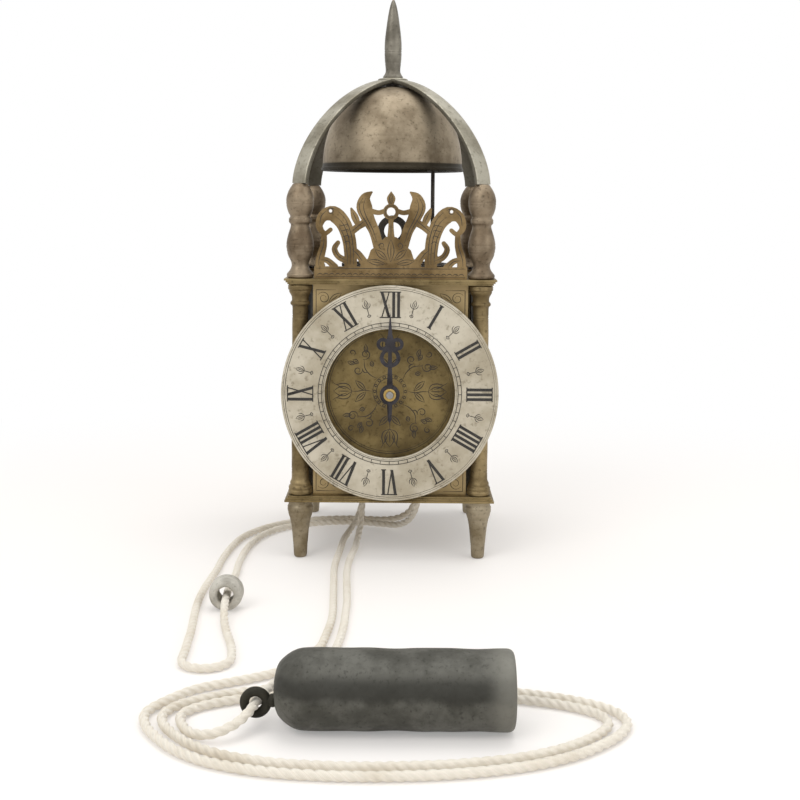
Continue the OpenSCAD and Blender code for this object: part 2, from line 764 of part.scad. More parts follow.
module rear_bar() {
    color([0.45, 0.42, 0.38]) {
        upright(rear_bar_y, bar_t) difference() {
            union() {
                bar_outline(true);
                hammer_arm_2d();
            }
            hole(0, great_z, great_shaft_r);
            for (p = [[0, hoop_z], [0, warning_z], [0, fly_z], [hammer_x, hammer_z],
                      [lever_x, lifting_z]]) hole(p[0], p[1], pivot_r);
            hole(lever_x, detent_z, lever_r);
        }
        // stud of the count wheel
        shaft(0, count_z, rear_bar_y + bar_t - 0.1, count_disc_y - rear_bar_y + 1, 2.2);
    }
}

// ---------------------------------------------------------------- going train

// grooved rope sheave on the great arbor, centred on y
sheave_half = 5;
flange_r = sheave_r + 3.5;
groove_r = sheave_r - rope_r - 0.3;

module sheave(y) translate([0, y, great_z]) rotate([-90, 0, 0]) rotate_extrude() polygon([
    [0, -sheave_half], [flange_r, -sheave_half], [flange_r, -sheave_half + 1],
    [sheave_r, -rope_r - 0.4], [groove_r, -rope_r - 0.3], [groove_r, rope_r + 0.3],
    [sheave_r, rope_r + 0.4], [flange_r, sheave_half - 1], [flange_r, sheave_half],
    [0, sheave_half]
]);

module going_wheel() {
    color([0.60, 0.48, 0.24]) difference() {
        union() {
            wheel(great_z, going_wheel_y, 3, great_n, great_m, 90, 3.4, 4, 5, 9, 3.2);
            sheave(going_sheave_y);
            shaft(0, great_z, going_wheel_y, going_sheave_y - going_wheel_y, 8);
        }
        shaft(0, great_z, going_wheel_y - 5, 30, 3);
    }
}

module going_arbor() {
    rear = middle_bar_y;
    front = front_bar_y + bar_t;
    color([0.42, 0.42, 0.44]) {
        shaft(0, great_z, front + 0.3, rear - front - 0.6, 3);
        shaft(0, great_z, rear - 0.4, blind + 0.3, pivot_r);
        shaft(0, great_z, hour_wheel_y - 1.5, front - hour_wheel_y + 2, great_shaft_r);
        pinion(great_z, hour_wheel_y - 1, 4, report_leaves, report_m, 90 + 180 / report_leaves);
    }
}

module second_wheel() {
    color([0.62, 0.50, 0.26])
        wheel(second_z, second_wheel_y, 2, second_n, second_m, 90, 2.6, 4, 3.6, 6, 2.2);
}

module second_arbor() {
    front = front_bar_y + bar_t;
    color([0.42, 0.42, 0.44]) {
        shaft(0, second_z, second_wheel_y - 1.6, 16, 2.2);
        shaft(0, second_z, front + 0.3, middle_bar_y - front - 0.6, 1.5);
        shaft(0, second_z, front - bar_t + 0.2, middle_bar_y - front + bar_t + 1.2, pivot_r);
        pinion(second_z, going_wheel_y - 3, 9, second_leaves, great_m, -90 + 180 / second_leaves);
    }
}

// crown wheel: a dished rim with pointed teeth towards the verge, on its pinioned arbor
module crown_wheel() {
    front = front_bar_y + bar_t;
    rim_y = crown_tip_y - 4.5;
    tooth_w = 2 * PI * (crown_r - 1) / crown_n * 0.62;
    color([0.63, 0.51, 0.27]) {
        translate([0, 0, crown_z]) {
            upright(crown_web_y, 2) difference() {
                circle(r = crown_r);
                for (i = [0:3]) rotate(90 * i + 45) translate([crown_r * 0.52, 0])
                    circle(r = crown_r * 0.27);
            }
            upright(crown_web_y, rim_y - crown_web_y) difference() {
                circle(r = crown_r);
                circle(r = crown_r - 2);
            }
            for (i = [0:crown_n - 1]) rotate([0, i * 360 / crown_n, 0])
                translate([crown_r - 1.9, 0, 0]) rotate([90, 0, 90]) linear_extrude(1.75)
                    polygon([[rim_y - 0.5, -tooth_w / 2], [rim_y - 0.5, tooth_w / 2],
                             [rim_y, tooth_w / 2], [crown_tip_y, -tooth_w / 2 + 0.5],
                             [crown_tip_y, -tooth_w / 2]]);
        }
        shaft(0, crown_z, second_wheel_y + 6, 8, 3);
        shaft(0, crown_z, front + 0.3, 18, 1.2);
        shaft(0, crown_z, front - bar_t + 0.2, middle_bar_y - front + bar_t + 1.2, pivot_r);
        pinion(crown_z, second_wheel_y - 2.5, 7, crown_leaves, second_m, -90 + 180 / crown_leaves);
    }
}

// verge: an upright staff with two pallets set apart by about a hundred degrees
module verge() {
    foot_z = potence_z + 2.6;
    color([0.40, 0.40, 0.42]) translate([verge_x, verge_y, 0]) {
        translate([0, 0, foot_z]) cylinder(h = balance_z + 4 - foot_z, r = verge_r);
        translate([0, 0, potence_z + 1]) cylinder(h = cock_z + 2 - potence_z - 1, r = 0.8);
        for (p = [[1, -138], [-1, -42]])
            translate([0, 0, crown_z + p[0] * pallet_r - 2.6]) rotate(p[1])
                translate([0, -0.5, 0]) cube([pallet_len, 1, 5.2]);
    }
}

module balance_wheel() {
    color([0.58, 0.47, 0.26]) translate([verge_x, verge_y, balance_z]) difference() {
        union() {
            difference() {
                cylinder(h = 2, r = balance_r, $fn = 96);
                translate([0, 0, -1]) cylinder(h = 4, r = balance_r - 3.2, $fn = 96);
            }
            for (a = [0, 60, 120]) rotate(a) translate([-balance_r + 2, -1.8, 0])
                cube([2 * balance_r - 4, 3.6, 2]);
            translate([0, 0, -1.6]) cylinder(h = 5.2, r = 4.5);
        }
        translate([0, 0, -3]) cylinder(h = 10, r = verge_r);
    }
}

cock_y = verge_y + balance_r + 5;

module balance_cock() {
    color([0.56, 0.46, 0.26]) difference() {
        union() {
            translate([verge_x - 6, cock_y, z2]) cube([12, 9, 2.4]);
            translate([verge_x - 4.5, cock_y, z2]) cube([9, 3.4, cock_z - z2 + 2.4]);
            translate([0, 0, cock_z]) linear_extrude(2.4) {
                translate([verge_x, verge_y]) circle(r = 5.5);
                polygon([[verge_x - 2.2, verge_y], [verge_x + 2.2, verge_y],
                         [verge_x + 4.5, cock_y + 3.4], [verge_x - 4.5, cock_y + 3.4]]);
            }
            translate([verge_x, cock_y + 6, z2 + 2.3]) cylinder(h = 1.8, r = 2.6);
        }
        translate([verge_x, verge_y, cock_z - 1]) cylinder(h = 5, r = 0.8 + run);
    }
}

// hour wheel on its pipe, with the twelve-pointed star that lifts the striking
star_y = hour_wheel_y + 2.4;

module hour_wheel() {
    color([0.61, 0.49, 0.25]) difference() {
        union() {
            wheel(dial_z, hour_wheel_y, 2, hour_n, report_m, -90, 3, 4, 4, 9, stud_rad + run);
            shaft(0, dial_z, hand_y + hand_t, star_y + 1.8 - hand_y - hand_t, pipe_r);
            translate([0, 0, dial_z]) upright(star_y, 1.8) polygon([
                for (i = [0:23]) let (a = i * 15, r = i % 2 == 0 ? 14 : 9.5) r * [cos(a), sin(a)]
            ]);
        }
        shaft(0, dial_z, hand_y - 1, star_y - hand_y + 5, stud_rad + run);
    }
}

module hour_stud() {
    back = front_bar_y;
    color([0.42, 0.42, 0.44]) {
        shaft(0, dial_z, stud_tip_y, back - stud_tip_y - 0.8, stud_rad);
        translate([0, 0, dial_z]) upright(back - 1.8, 1.8) difference() {
            translate([-7, -16]) square([14, 32]);
            for (s = [-1, 1]) translate([0, 12 * s]) circle(r = 1.4);
        }
    }
}

// ---------------------------------------------------------------- striking train

pin_ring_r = 29;
hammer_pins = 13;

module strike_wheel() {
    color([0.60, 0.48, 0.24]) difference() {
        union() {
            wheel(great_z, strike_wheel_y, 3, strike_n, strike_m, 90, 4.6, 4, 5, 9, 3);
            sheave(strike_sheave_y);
            shaft(0, great_z, strike_sheave_y, strike_wheel_y - strike_sheave_y + 1, 8);
            for (i = [0:hammer_pins - 1]) rotate_about_great(i * 360 / hammer_pins)
                shaft(pin_ring_r - 0.6, 0, strike_wheel_y - 3.6, 4, 1);
        }
        shaft(0, great_z, strike_sheave_y - 8, 40, 3);
    }
}

module rotate_about_great(a) translate([0, 0, great_z]) rotate([0, a, 0]) children();

module strike_arbor() {
    front = middle_bar_y + middle_bar_t;
    color([0.42, 0.42, 0.44]) {
        shaft(0, great_z, front + 0.3, rear_bar_y - front - 0.6, 3);
        shaft(0, great_z, front - blind + 0.2, blind + 0.3, pivot_r);
        shaft(0, great_z, rear_bar_y - 0.4, count_wheel_y - rear_bar_y + 4.6, great_shaft_r);
        pinion(great_z, count_wheel_y - 1, 5, count_leaves, count_m, 90 + 180 / count_leaves);
    }
}

// shaft of a striking mobile, with pivots in the middle and rear bars
module strike_shaft(z, r = 1.4) {
    front = middle_bar_y + middle_bar_t;
    shaft(0, z, front + 0.3, rear_bar_y - front - 0.6, r);
    shaft(0, z, front - blind + 0.2, rear_bar_y - front + blind + bar_t - 0.4, pivot_r);
}

hoop_ring_r = 21;

module hoop_wheel() {
    color([0.62, 0.50, 0.26]) {
        wheel(hoop_z, hoop_wheel_y, 2, hoop_n, hoop_m, 90, 4.6, 4, 3.4, 6, 1.4);
        // the hoop with its one gap, which locks the train after each blow
        translate([0, 0, hoop_z]) upright(hoop_wheel_y + 1.9, 3) difference() {
            circle(r = hoop_ring_r);
            circle(r = hoop_ring_r - 2);
            translate([-24, 6]) square([12, 8]);
        }
        strike_shaft(hoop_z);
        pinion(hoop_z, strike_wheel_y - 2, 7, strike_leaves, strike_m, -90 + 180 / strike_leaves);
    }
}

module warning_wheel() {
    color([0.62, 0.50, 0.26]) {
        wheel(warning_z, warning_wheel_y, 2, warning_n, warning_m, 90, 2.4, 4, 3, 5, 1.4);
        shaft(16.7, warning_z, warning_wheel_y + 1.9, 2.4, 1);
        strike_shaft(warning_z);
        pinion(warning_z, hoop_wheel_y - 1.5, 5, strike_leaves, hoop_m, -90 + 180 / strike_leaves);
    }
}

module fly() {
    color([0.55, 0.50, 0.40]) {
        strike_shaft(fly_z, 1.2);
        pinion(fly_z, warning_wheel_y - 1.5, 5, strike_leaves, warning_m, -90 + 180 / strike_leaves);
        translate([-fly_r, 5, fly_z - 0.4]) cube([2 * fly_r, 21, 0.8]);
        shaft(0, fly_z, 4, 3, 2.6);
        shaft(0, fly_z, 24, 3, 2.6);
    }
}

// count wheel: teeth in front, notched disc behind; the gaps count 1 to 12 blows
function blows_to(h) = h * (h + 1) / 2;

module count_wheel() {
    total = blows_to(12);
    color([0.60, 0.48, 0.25]) {
        wheel(count_z, count_wheel_y, 2.4, count_n, count_m, -90, 3.6, 4, 4, 7, 2.2 + run);
        translate([0, 0, count_z]) {
            upright(count_wheel_y, count_disc_y - count_wheel_y + 1) difference() {
                circle(r = 5);
                circle(r = 2.2 + run);
            }
            upright(count_disc_y, 2) difference() {
                circle(r = count_r, $fn = 96);
                circle(r = 2.2 + run);
                for (h = [1:12]) rotate(blows_to(h) * 360 / total + 45)
                    translate([count_r - 3, -1.3]) square([5, 2.6]);
                for (i = [0:3]) rotate(90 * i) translate([16, 0]) circle(r = 6.5);
            }
        }
    }
}

// ---------------------------------------------------------------- levers

head_x = 4.4;
hammer_top = bell_z + 5;

// hammer: arbor, tail for the wheel's pins, stem through the top plate, and head
module hammer() {
    front = middle_bar_y + middle_bar_t;
    color([0.40, 0.40, 0.42]) {
        shaft(hammer_x, hammer_z, front + 0.3, rear_bar_y - front - 0.6, lever_r);
        shaft(hammer_x, hammer_z, front - blind + 0.2, rear_bar_y - front + blind + bar_t - 0.4,
            pivot_r);
        translate([hammer_x, hammer_y, hammer_z]) cylinder(h = hammer_top - hammer_z, r = 1.5);
        translate([hammer_x, hammer_y, hammer_z]) sphere(r = 3);
        translate([hammer_x - head_x, hammer_y, hammer_top]) rotate([0, 90, 0])
            cylinder(h = 2 * head_x - 0.9, r = 4.2);
        upright(strike_wheel_y - 3.4, 2.4) {
            translate([hammer_x, hammer_z]) circle(r = 3.6);
            polygon([[hammer_x - 2, hammer_z - 3], [hammer_x + 2, hammer_z - 3],
                     [hammer_x - 5.2, hammer_z - 13.5], [hammer_x - 6.6, hammer_z - 12.5]]);
        }
    }
}

// flat spring on the base plate that presses the hammer, and the stop on the top plate
module hammer_spring() {
    spring_x = hammer_x + 12;
    color([0.38, 0.38, 0.40]) {
        translate([spring_x - 4, strike_wheel_y - 8, z0]) cube([12, 12, 2]);
        translate([spring_x, strike_wheel_y - 6, z0]) cube([1, 8, 58]);
        translate([hammer_x + 1.5 + slack, hammer_y - 6, z2]) cube([3, 2.6, 12]);
        translate([hammer_x + 1.5 + slack, hammer_y - 6, z2 + 5]) cube([3, 8, 7]);
        translate([hammer_x + 1.5 + slack, hammer_y - 8, z2]) cube([9, 6, 2]);
    }
}

// arm in the XZ plane from one point to another, tapering
module arm_2d(x1, z1, x2, z2, w1, w2) {
    a = atan2(z2 - z1, x2 - x1);
    d = norm([x2 - x1, z2 - z1]);
    translate([x1, z1]) rotate(a) polygon([[0, -w1 / 2], [d, -w2 / 2], [d, w2 / 2], [0, w1 / 2]]);
    translate([x1, z1]) circle(r = w1 / 2 + 1.2);
}

module lifting_piece() {
    front = star_y;
    color([0.40, 0.40, 0.42]) {
        shaft(lever_x, lifting_z, front, rear_bar_y - front - 0.3, lever_r);
        shaft(lever_x, lifting_z, rear_bar_y - 0.4, bar_t + 0.2, pivot_r);
        upright(front, 1.8) arm_2d(lever_x, lifting_z, -14.8, dial_z + 1, 5, 2.4);
        upright(warning_wheel_y + 3, 1.8) arm_2d(lever_x, lifting_z, -20, warning_z - 2, 5, 2.4);
    }
}

module detent() {
    front = front_bar_y + bar_t;
    // the arm's tip lies along the count disc's edge, just clear of it
    r = count_r + 1.4;
    a = atan2(detent_z - count_z, lever_x) - acos(r / norm([lever_x, detent_z - count_z]));
    color([0.40, 0.40, 0.42]) {
        shaft(lever_x, detent_z, front + 0.3, count_disc_y - front + 1.4, lever_r);
        shaft(lever_x, detent_z, front_bar_y + 0.2, bar_t + 0.4, pivot_r);
        upright(count_disc_y + 0.1, 1.8)
            arm_2d(lever_x, detent_z, r * cos(a), count_z + r * sin(a), 5, 2.2);
        upright(hoop_wheel_y + 2.5, 2.2) arm_2d(lever_x, detent_z, -15, hoop_z + 18.2, 5, 2.4);
    }
}

// ---------------------------------------------------------------- rope and weight

// points of a smooth curve through a list, each span cut into parts steps
function catmull(a, b, c, d, t) = 0.5 * (2 * b + (c - a) * t + (2 * a - 5 * b + 4 * c - d) * t * t
    + (3 * b - a - 3 * c + d) * t * t * t);
function at(p, i) = p[max(0, min(len(p) - 1, i))];
function smooth(p, parts) = concat(
    [for (i = [0:len(p) - 2]) for (k = [0:parts - 1])
        catmull(at(p, i - 1), p[i], p[i + 1], at(p, i + 2), k / parts)],
    [p[len(p) - 1]]);
function unit(v) = v / norm(v);
function tangent(p, i) = unit(at(p, i + 1) - at(p, i - 1));
// a side direction carried along the curve without twisting
function sides(p, i, s) = i >= len(p) ? [] :
    let (t = tangent(p, i), n = unit(s - (s * t) * t)) concat([n], sides(p, i + 1, n));

// round tube along points, count flats round it
module tube(p, r, count) {
    side = sides(p, 0, [0, 1, 0]);
    points = [for (i = [0:len(p) - 1]) let (t = tangent(p, i), n = side[i], b = cross(t, n))
        for (k = [0:count - 1]) p[i] + r * (cos(360 * k / count) * n + sin(360 * k / count) * b)];
    body = [for (i = [0:len(p) - 2]) for (k = [0:count - 1])
        let (q = (k + 1) % count, u = i * count)
        each [[u + k, u + count + k, u + q], [u + q, u + count + k, u + count + q]]];
    last = (len(p) - 1) * count;
    ends = [for (k = [1:count - 2]) each [[0, k, k + 1], [last, last + k + 1, last + k]]];
    polyhedron(points = points, faces = concat(body, ends), convexity = 6);
}

// rope over both sheaves and down through the base plate
fall_end = z_base - 2;

module rope_sheaves() {
    color([0.90, 0.89, 0.84]) for (y = [going_sheave_y, strike_sheave_y]) {
        translate([0, y, great_z]) rotate([90, 0, 0])
            rotate_extrude(angle = 180) translate([sheave_r, 0]) circle(r = rope_r, $fn = 32);
        for (sx = [-1, 1]) translate([sx * fall_x, y, fall_end])
            cylinder(h = great_z - fall_end, r = rope_r, $fn = 32);
    }
}

// bight from the right front fall, forward on the left, and back to the right rear fall
COUNTER = [
    [fall_x, going_sheave_y, fall_end], [20, -12, 25], [15, -3, 12], [6, 8, 4.5],
    [-8, 17, 2.5], [-24, 22, 2.5], [-42, 22, 2.5], [-58, 18, 2.5], [-73, 11, 2.5],
    [-86, -1, 2.5], [-95, -16, 2.5], [-100, -33, 2.5], [-103, -52, 2.5], [-104, -72, 2.5],
    [-104, -92, 2.5], [-103, -112, 2.5], [-103, -130, 2.5], [-102, -146, 3.4],
    [-101, -163, 7.2], [-100, -178, 7.85], [-99, -193, 7.2], [-96.5, -211, 3.4],
    [-92.5, -228, 2.5], [-88.5, -243, 2.5], [-85.8, -256, 2.5], [-84.5, -269, 2.5],
    [-86.3, -275.8, 2.5], [-91.2, -280.7, 2.5],
    [-98, -282.5, 2.5], [-104.8, -280.7, 2.5], [-109.7, -275.8, 2.5], [-111.5, -269, 2.5],
    [-112, -255, 2.5], [-113, -241, 2.5], [-114, -225, 2.5], [-116, -205, 2.5],
    [-118, -184, 2.5], [-119, -164, 2.5], [-119, -144, 2.5], [-118, -124, 2.5],
    [-117, -104, 2.5], [-117, -84, 2.5], [-116, -64, 2.5], [-114, -44, 2.5], [-110, -24, 2.5],
    [-102, -6, 2.5], [-90, 10, 2.5], [-75, 22, 2.5], [-58, 29, 2.5], [-40, 32, 2.5],
    [-22, 32, 2.5], [-6, 29, 2.8], [7, 24, 6], [16, 18, 14], [20, 15, 26],
    [fall_x, strike_sheave_y, fall_end]
];

// the two runs to the weight: from the left front fall, then from the left rear fall
RUN_FRONT = [
    [-fall_x, going_sheave_y, fall_end], [-21, -16, 26], [-22, -21, 12], [-24, -34, 3.5],
    [-25, -52, 2.5], [-27, -72, 2.5], [-28, -92, 2.5], [-28, -112, 2.5], [-27, -132, 2.5],
    [-26, -152, 2.5], [-25, -172, 2.5], [-25, -192, 2.5], [-25, -212, 2.5], [-26, -235, 2.5]
];
RUN_REAR = [
    [-fall_x, strike_sheave_y, fall_end], [-21, 12, 25], [-25, 5, 11], [-31, -8, 3.2],
    [-34, -26, 2.5], [-35, -46, 2.5], [-36, -66, 2.5], [-37, -86, 2.5], [-37, -106, 2.5],
    [-36, -126, 2.5], [-35, -146, 2.5], [-34, -166, 2.5], [-33, -186, 2.5], [-33, -208, 2.5],
    [-35, -235, 2.5]
];

module rope_counter() {
    color([0.92, 0.91, 0.87]) tube(COUNTER, rope_r, 8);
}

// small lead ring that keeps the slack side of the rope taut
counter_place = [-100, -178];
counter_r = 10.5;
counter_bore = 5.2;

module counter_ring() {
    b = counter_bore;
    r = counter_r;
    color([0.36, 0.37, 0.34]) translate([counter_place[0], counter_place[1], r])
        rotate([-90, 0, -2]) rotate_extrude() polygon([
            [b + 1, -7], [r - 3, -7], [r - 1, -6], [r, -4], [r, 4], [r - 1, 6], [r - 3, 7],
            [b + 1, 7], [b, 6], [b, -6]
        ]);
}

module rope_run() {
    color([0.92, 0.91, 0.87]) for (route = [RUN_FRONT, RUN_REAR]) tube(route, rope_r, 8);
}

// the rope's loops round the weight: over two turns to the eye, through it, then outwards
LOOP_HEAD = [
    [-26, -235, 2.5], [-28, -254, 2.5], [-31, -272, 3.5], [-36, -288, 8], [-43, -303, 11.5],
    [-50, -318, 12.4], [-57, -333, eye_low], [eye_x, weight_y, eye_low], [-63.4, -357.6, 10.8],
    [-68.6, -364.6, 8.2], [-77.5, -368.4, 5.2], [-86.5, -366.2, 3.4], [-94, -358, 2.5]
];
LOOP_TAIL = [
    [-97, -311, 2.5], [-82, -302, 2.5], [-67, -294, 2.5], [-54, -284, 2.5], [-44, -268, 2.5],
    [-37, -250, 2.5], [-35, -235, 2.5]
];
loop_from = 169;
loop_to = -571;
loop_rings = 24;
loop_grow = 9;
function loop_wave(f) = 1 + 0.03 * sin(3 * f + 40) + 0.015 * sin(5 * f);
function loop_point(f) = let (n = (loop_from - f) / 360 * loop_grow)
    [2 + (101.4 + n) * loop_wave(f) * cos(f), weight_y - 1 + (38.4 + n) * loop_wave(f) * sin(f), 2.5];
LOOPS = [for (f = [loop_from:-360 / loop_rings:loop_to]) loop_point(f)];
ROUTE = concat(LOOP_HEAD, LOOPS, LOOP_TAIL);

// the least gap between stretches of the loops that are not neighbours along the rope
function gap_of(p, reach) = min([for (i = [0:len(p) - 1]) for (j = [i + reach:1:len(p) - 1])
    norm(p[i] - p[j])]) - rope_d;
echo(loop_gap = gap_of(smooth(ROUTE, 4), 20));

module rope_loops() {
    color([0.92, 0.91, 0.87]) tube(ROUTE, rope_r, 6);
}

module lead_weight() {
    l = weight_len / 2;
    r = weight_r;
    color([0.38, 0.38, 0.36]) {
        translate([weight_x, weight_y, r]) rotate([0, 90, 0]) rotate_extrude() polygon([
            [0, -l], [5, -l], [12, -l + 1.5], [r - 4, -l + 5], [r - 1, -l + 10], [r, -l + 15],
            [r, l - 4], [r - 1.6, l], [0, l]
        ]);
    }
    color([0.22, 0.21, 0.19]) {
        translate([eye_x + eye_r, weight_y, eye_z + 1]) rotate([0, 90, 0])
            cylinder(h = 8, r = eye_wire);
        translate([eye_x, weight_y, eye_z]) rotate([90, 0, 0])
            rotate_extrude() translate([eye_r, 0]) circle(r = eye_wire, $fn = 24);
    }
}

// ---------------------------------------------------------------- nodes

base_plate();
top_plate();
corner(-1, -1) foot();  // foot_fl
corner(1, -1) foot();  // foot_fr
corner(-1, 1) foot();  // foot_rl
corner(1, 1) foot();  // foot_rr
corner(-1, -1) pillar();  // pillar_fl
corner(1, -1) pillar();  // pillar_fr
corner(-1, 1) pillar();  // pillar_rl
corner(1, 1) pillar();  // pillar_rr
corner(-1, -1) finial();  // finial_fl
corner(1, -1) finial();  // finial_fr
corner(-1, 1) finial();  // finial_rl
corner(1, 1) finial();  // finial_rr
bell_strap();
bell();
bell_nut();
spire();
fret(0);  // fret_front
fret(-90);  // fret_left
fret(90);  // fret_right
fret_screws();
dial_plate();
chapter_ring();
numerals();
hour_hand();
hand_washer();
left_door();
right_door();
back_plate();
hanging_hoop();
front_bar();
middle_bar();
rear_bar();
going_wheel();
going_arbor();
second_wheel();
second_arbor();
crown_wheel();
verge();
balance_wheel();
balance_cock();
hour_wheel();
hour_stud();
strike_wheel();
strike_arbor();
hoop_wheel();
warning_wheel();
fly();
count_wheel();
hammer();
hammer_spring();
lifting_piece();
detent();
rope_sheaves();
rope_counter();
counter_ring();
rope_run();
rope_loops();
lead_weight();
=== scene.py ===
"""Dresses the lantern clock: brass case, bell in its cage, dial, movement, rope and weight.

Metres, +Z up, the floor at z = 0, the dial faces -Y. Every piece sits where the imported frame
says and rides on one of its bodies.
"""

import json
import logging
import math
from dataclasses import dataclass, field
from enum import Enum
from typing import Callable, Sequence

import bmesh
import bpy
import numpy as np
from mathutils import Euler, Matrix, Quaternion, Vector

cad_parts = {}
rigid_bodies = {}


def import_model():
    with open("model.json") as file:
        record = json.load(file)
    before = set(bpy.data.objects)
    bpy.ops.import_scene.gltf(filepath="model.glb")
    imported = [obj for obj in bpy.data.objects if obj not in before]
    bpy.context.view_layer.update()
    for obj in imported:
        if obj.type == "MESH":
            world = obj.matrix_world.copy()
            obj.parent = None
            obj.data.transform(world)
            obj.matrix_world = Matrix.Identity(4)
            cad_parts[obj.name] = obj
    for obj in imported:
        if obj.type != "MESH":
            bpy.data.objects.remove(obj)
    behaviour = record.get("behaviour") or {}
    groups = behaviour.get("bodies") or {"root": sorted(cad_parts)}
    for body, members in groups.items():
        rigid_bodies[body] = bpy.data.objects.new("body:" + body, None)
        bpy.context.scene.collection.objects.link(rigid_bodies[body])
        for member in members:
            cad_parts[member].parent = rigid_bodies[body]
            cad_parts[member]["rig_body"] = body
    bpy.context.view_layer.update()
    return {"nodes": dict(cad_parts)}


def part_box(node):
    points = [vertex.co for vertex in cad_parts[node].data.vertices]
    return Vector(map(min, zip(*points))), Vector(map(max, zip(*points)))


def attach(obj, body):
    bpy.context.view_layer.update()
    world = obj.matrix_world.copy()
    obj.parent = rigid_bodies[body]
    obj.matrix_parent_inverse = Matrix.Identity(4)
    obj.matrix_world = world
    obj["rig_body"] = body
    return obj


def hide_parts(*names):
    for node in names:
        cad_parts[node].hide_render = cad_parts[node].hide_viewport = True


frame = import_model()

LOG = logging.getLogger("lantern_clock")
MM = 0.001
Array = np.ndarray
Colour = tuple[float, float, float]


def linear(colour: Colour) -> Colour:
    """Turns a screen colour of 0 to 255 into linear light.

    Args:
        colour: red, green and blue as they look on a screen.

    Returns:
        The three values for a shader's colour.
    """
    share = np.asarray(colour, float) / 255.0
    light = np.where(share <= 0.04045, share / 12.92, ((share + 0.055) / 1.055) ** 2.4)
    return tuple(float(v) for v in light)


# ------------------------------------------------------------------ shader maths


class Value:
    """A number in a node tree, which adds its Math nodes as it is reckoned with."""

    def __init__(self, tree: bpy.types.NodeTree, socket: bpy.types.NodeSocket) -> None:
        """Keeps the tree and the socket that gives the number."""
        self.tree = tree
        self.socket = socket

    def _math(self, operation: str, *others: "Value | float", first: bool = True,
              clamp: bool = False) -> "Value":
        """Adds one Math node.

        Args:
            operation: the Math node's operation.
            others: the other numbers of the sum.
            first: whether this value is the first number.
            clamp: whether the result is kept from 0 to 1.

        Returns:
            The node's result.
        """
        node = self.tree.nodes.new("ShaderNodeMath")
        node.operation = operation
        node.use_clamp = clamp
        terms = [self, *others] if first else [*others, self]
        for place, term in enumerate(terms):
            if isinstance(term, Value):
                self.tree.links.new(term.socket, node.inputs[place])
            else:
                node.inputs[place].default_value = float(term)
        return Value(self.tree, node.outputs[0])

    def __add__(self, other: "Value | float") -> "Value":
        """This value plus another."""
        return self._math("ADD", other)

    __radd__ = __add__

    def __sub__(self, other: "Value | float") -> "Value":
        """This value less another."""
        return self._math("SUBTRACT", other)

    def __rsub__(self, other: float) -> "Value":
        """A number less this value."""
        return self._math("SUBTRACT", other, first=False)

    def __mul__(self, other: "Value | float") -> "Value":
        """This value times another."""
        return self._math("MULTIPLY", other)

    __rmul__ = __mul__

    def __truediv__(self, other: "Value | float") -> "Value":
        """This value over another."""
        return self._math("DIVIDE", other)

    def __pow__(self, other: float) -> "Value":
        """This value to a power."""
        return self._math("POWER", other)

    def sine(self) -> "Value":
        """The sine of this value."""
        return self._math("SINE")

    def greater(self, other: "Value") -> "Value":
        """The greater of this value and another."""
        return self._math("MAXIMUM", other)

    def clamped(self) -> "Value":
        """This value kept from 0 to 1."""
        return self._math("MULTIPLY", 1.0, clamp=True)

    def rise(self, low: float, high: float) -> "Value":
        """A smooth step: 0 below low, 1 above high, 3t^2 - 2t^3 between them."""
        share = ((self - low) / (high - low)).clamped()
        return share * share * (3.0 - share * 2.0)


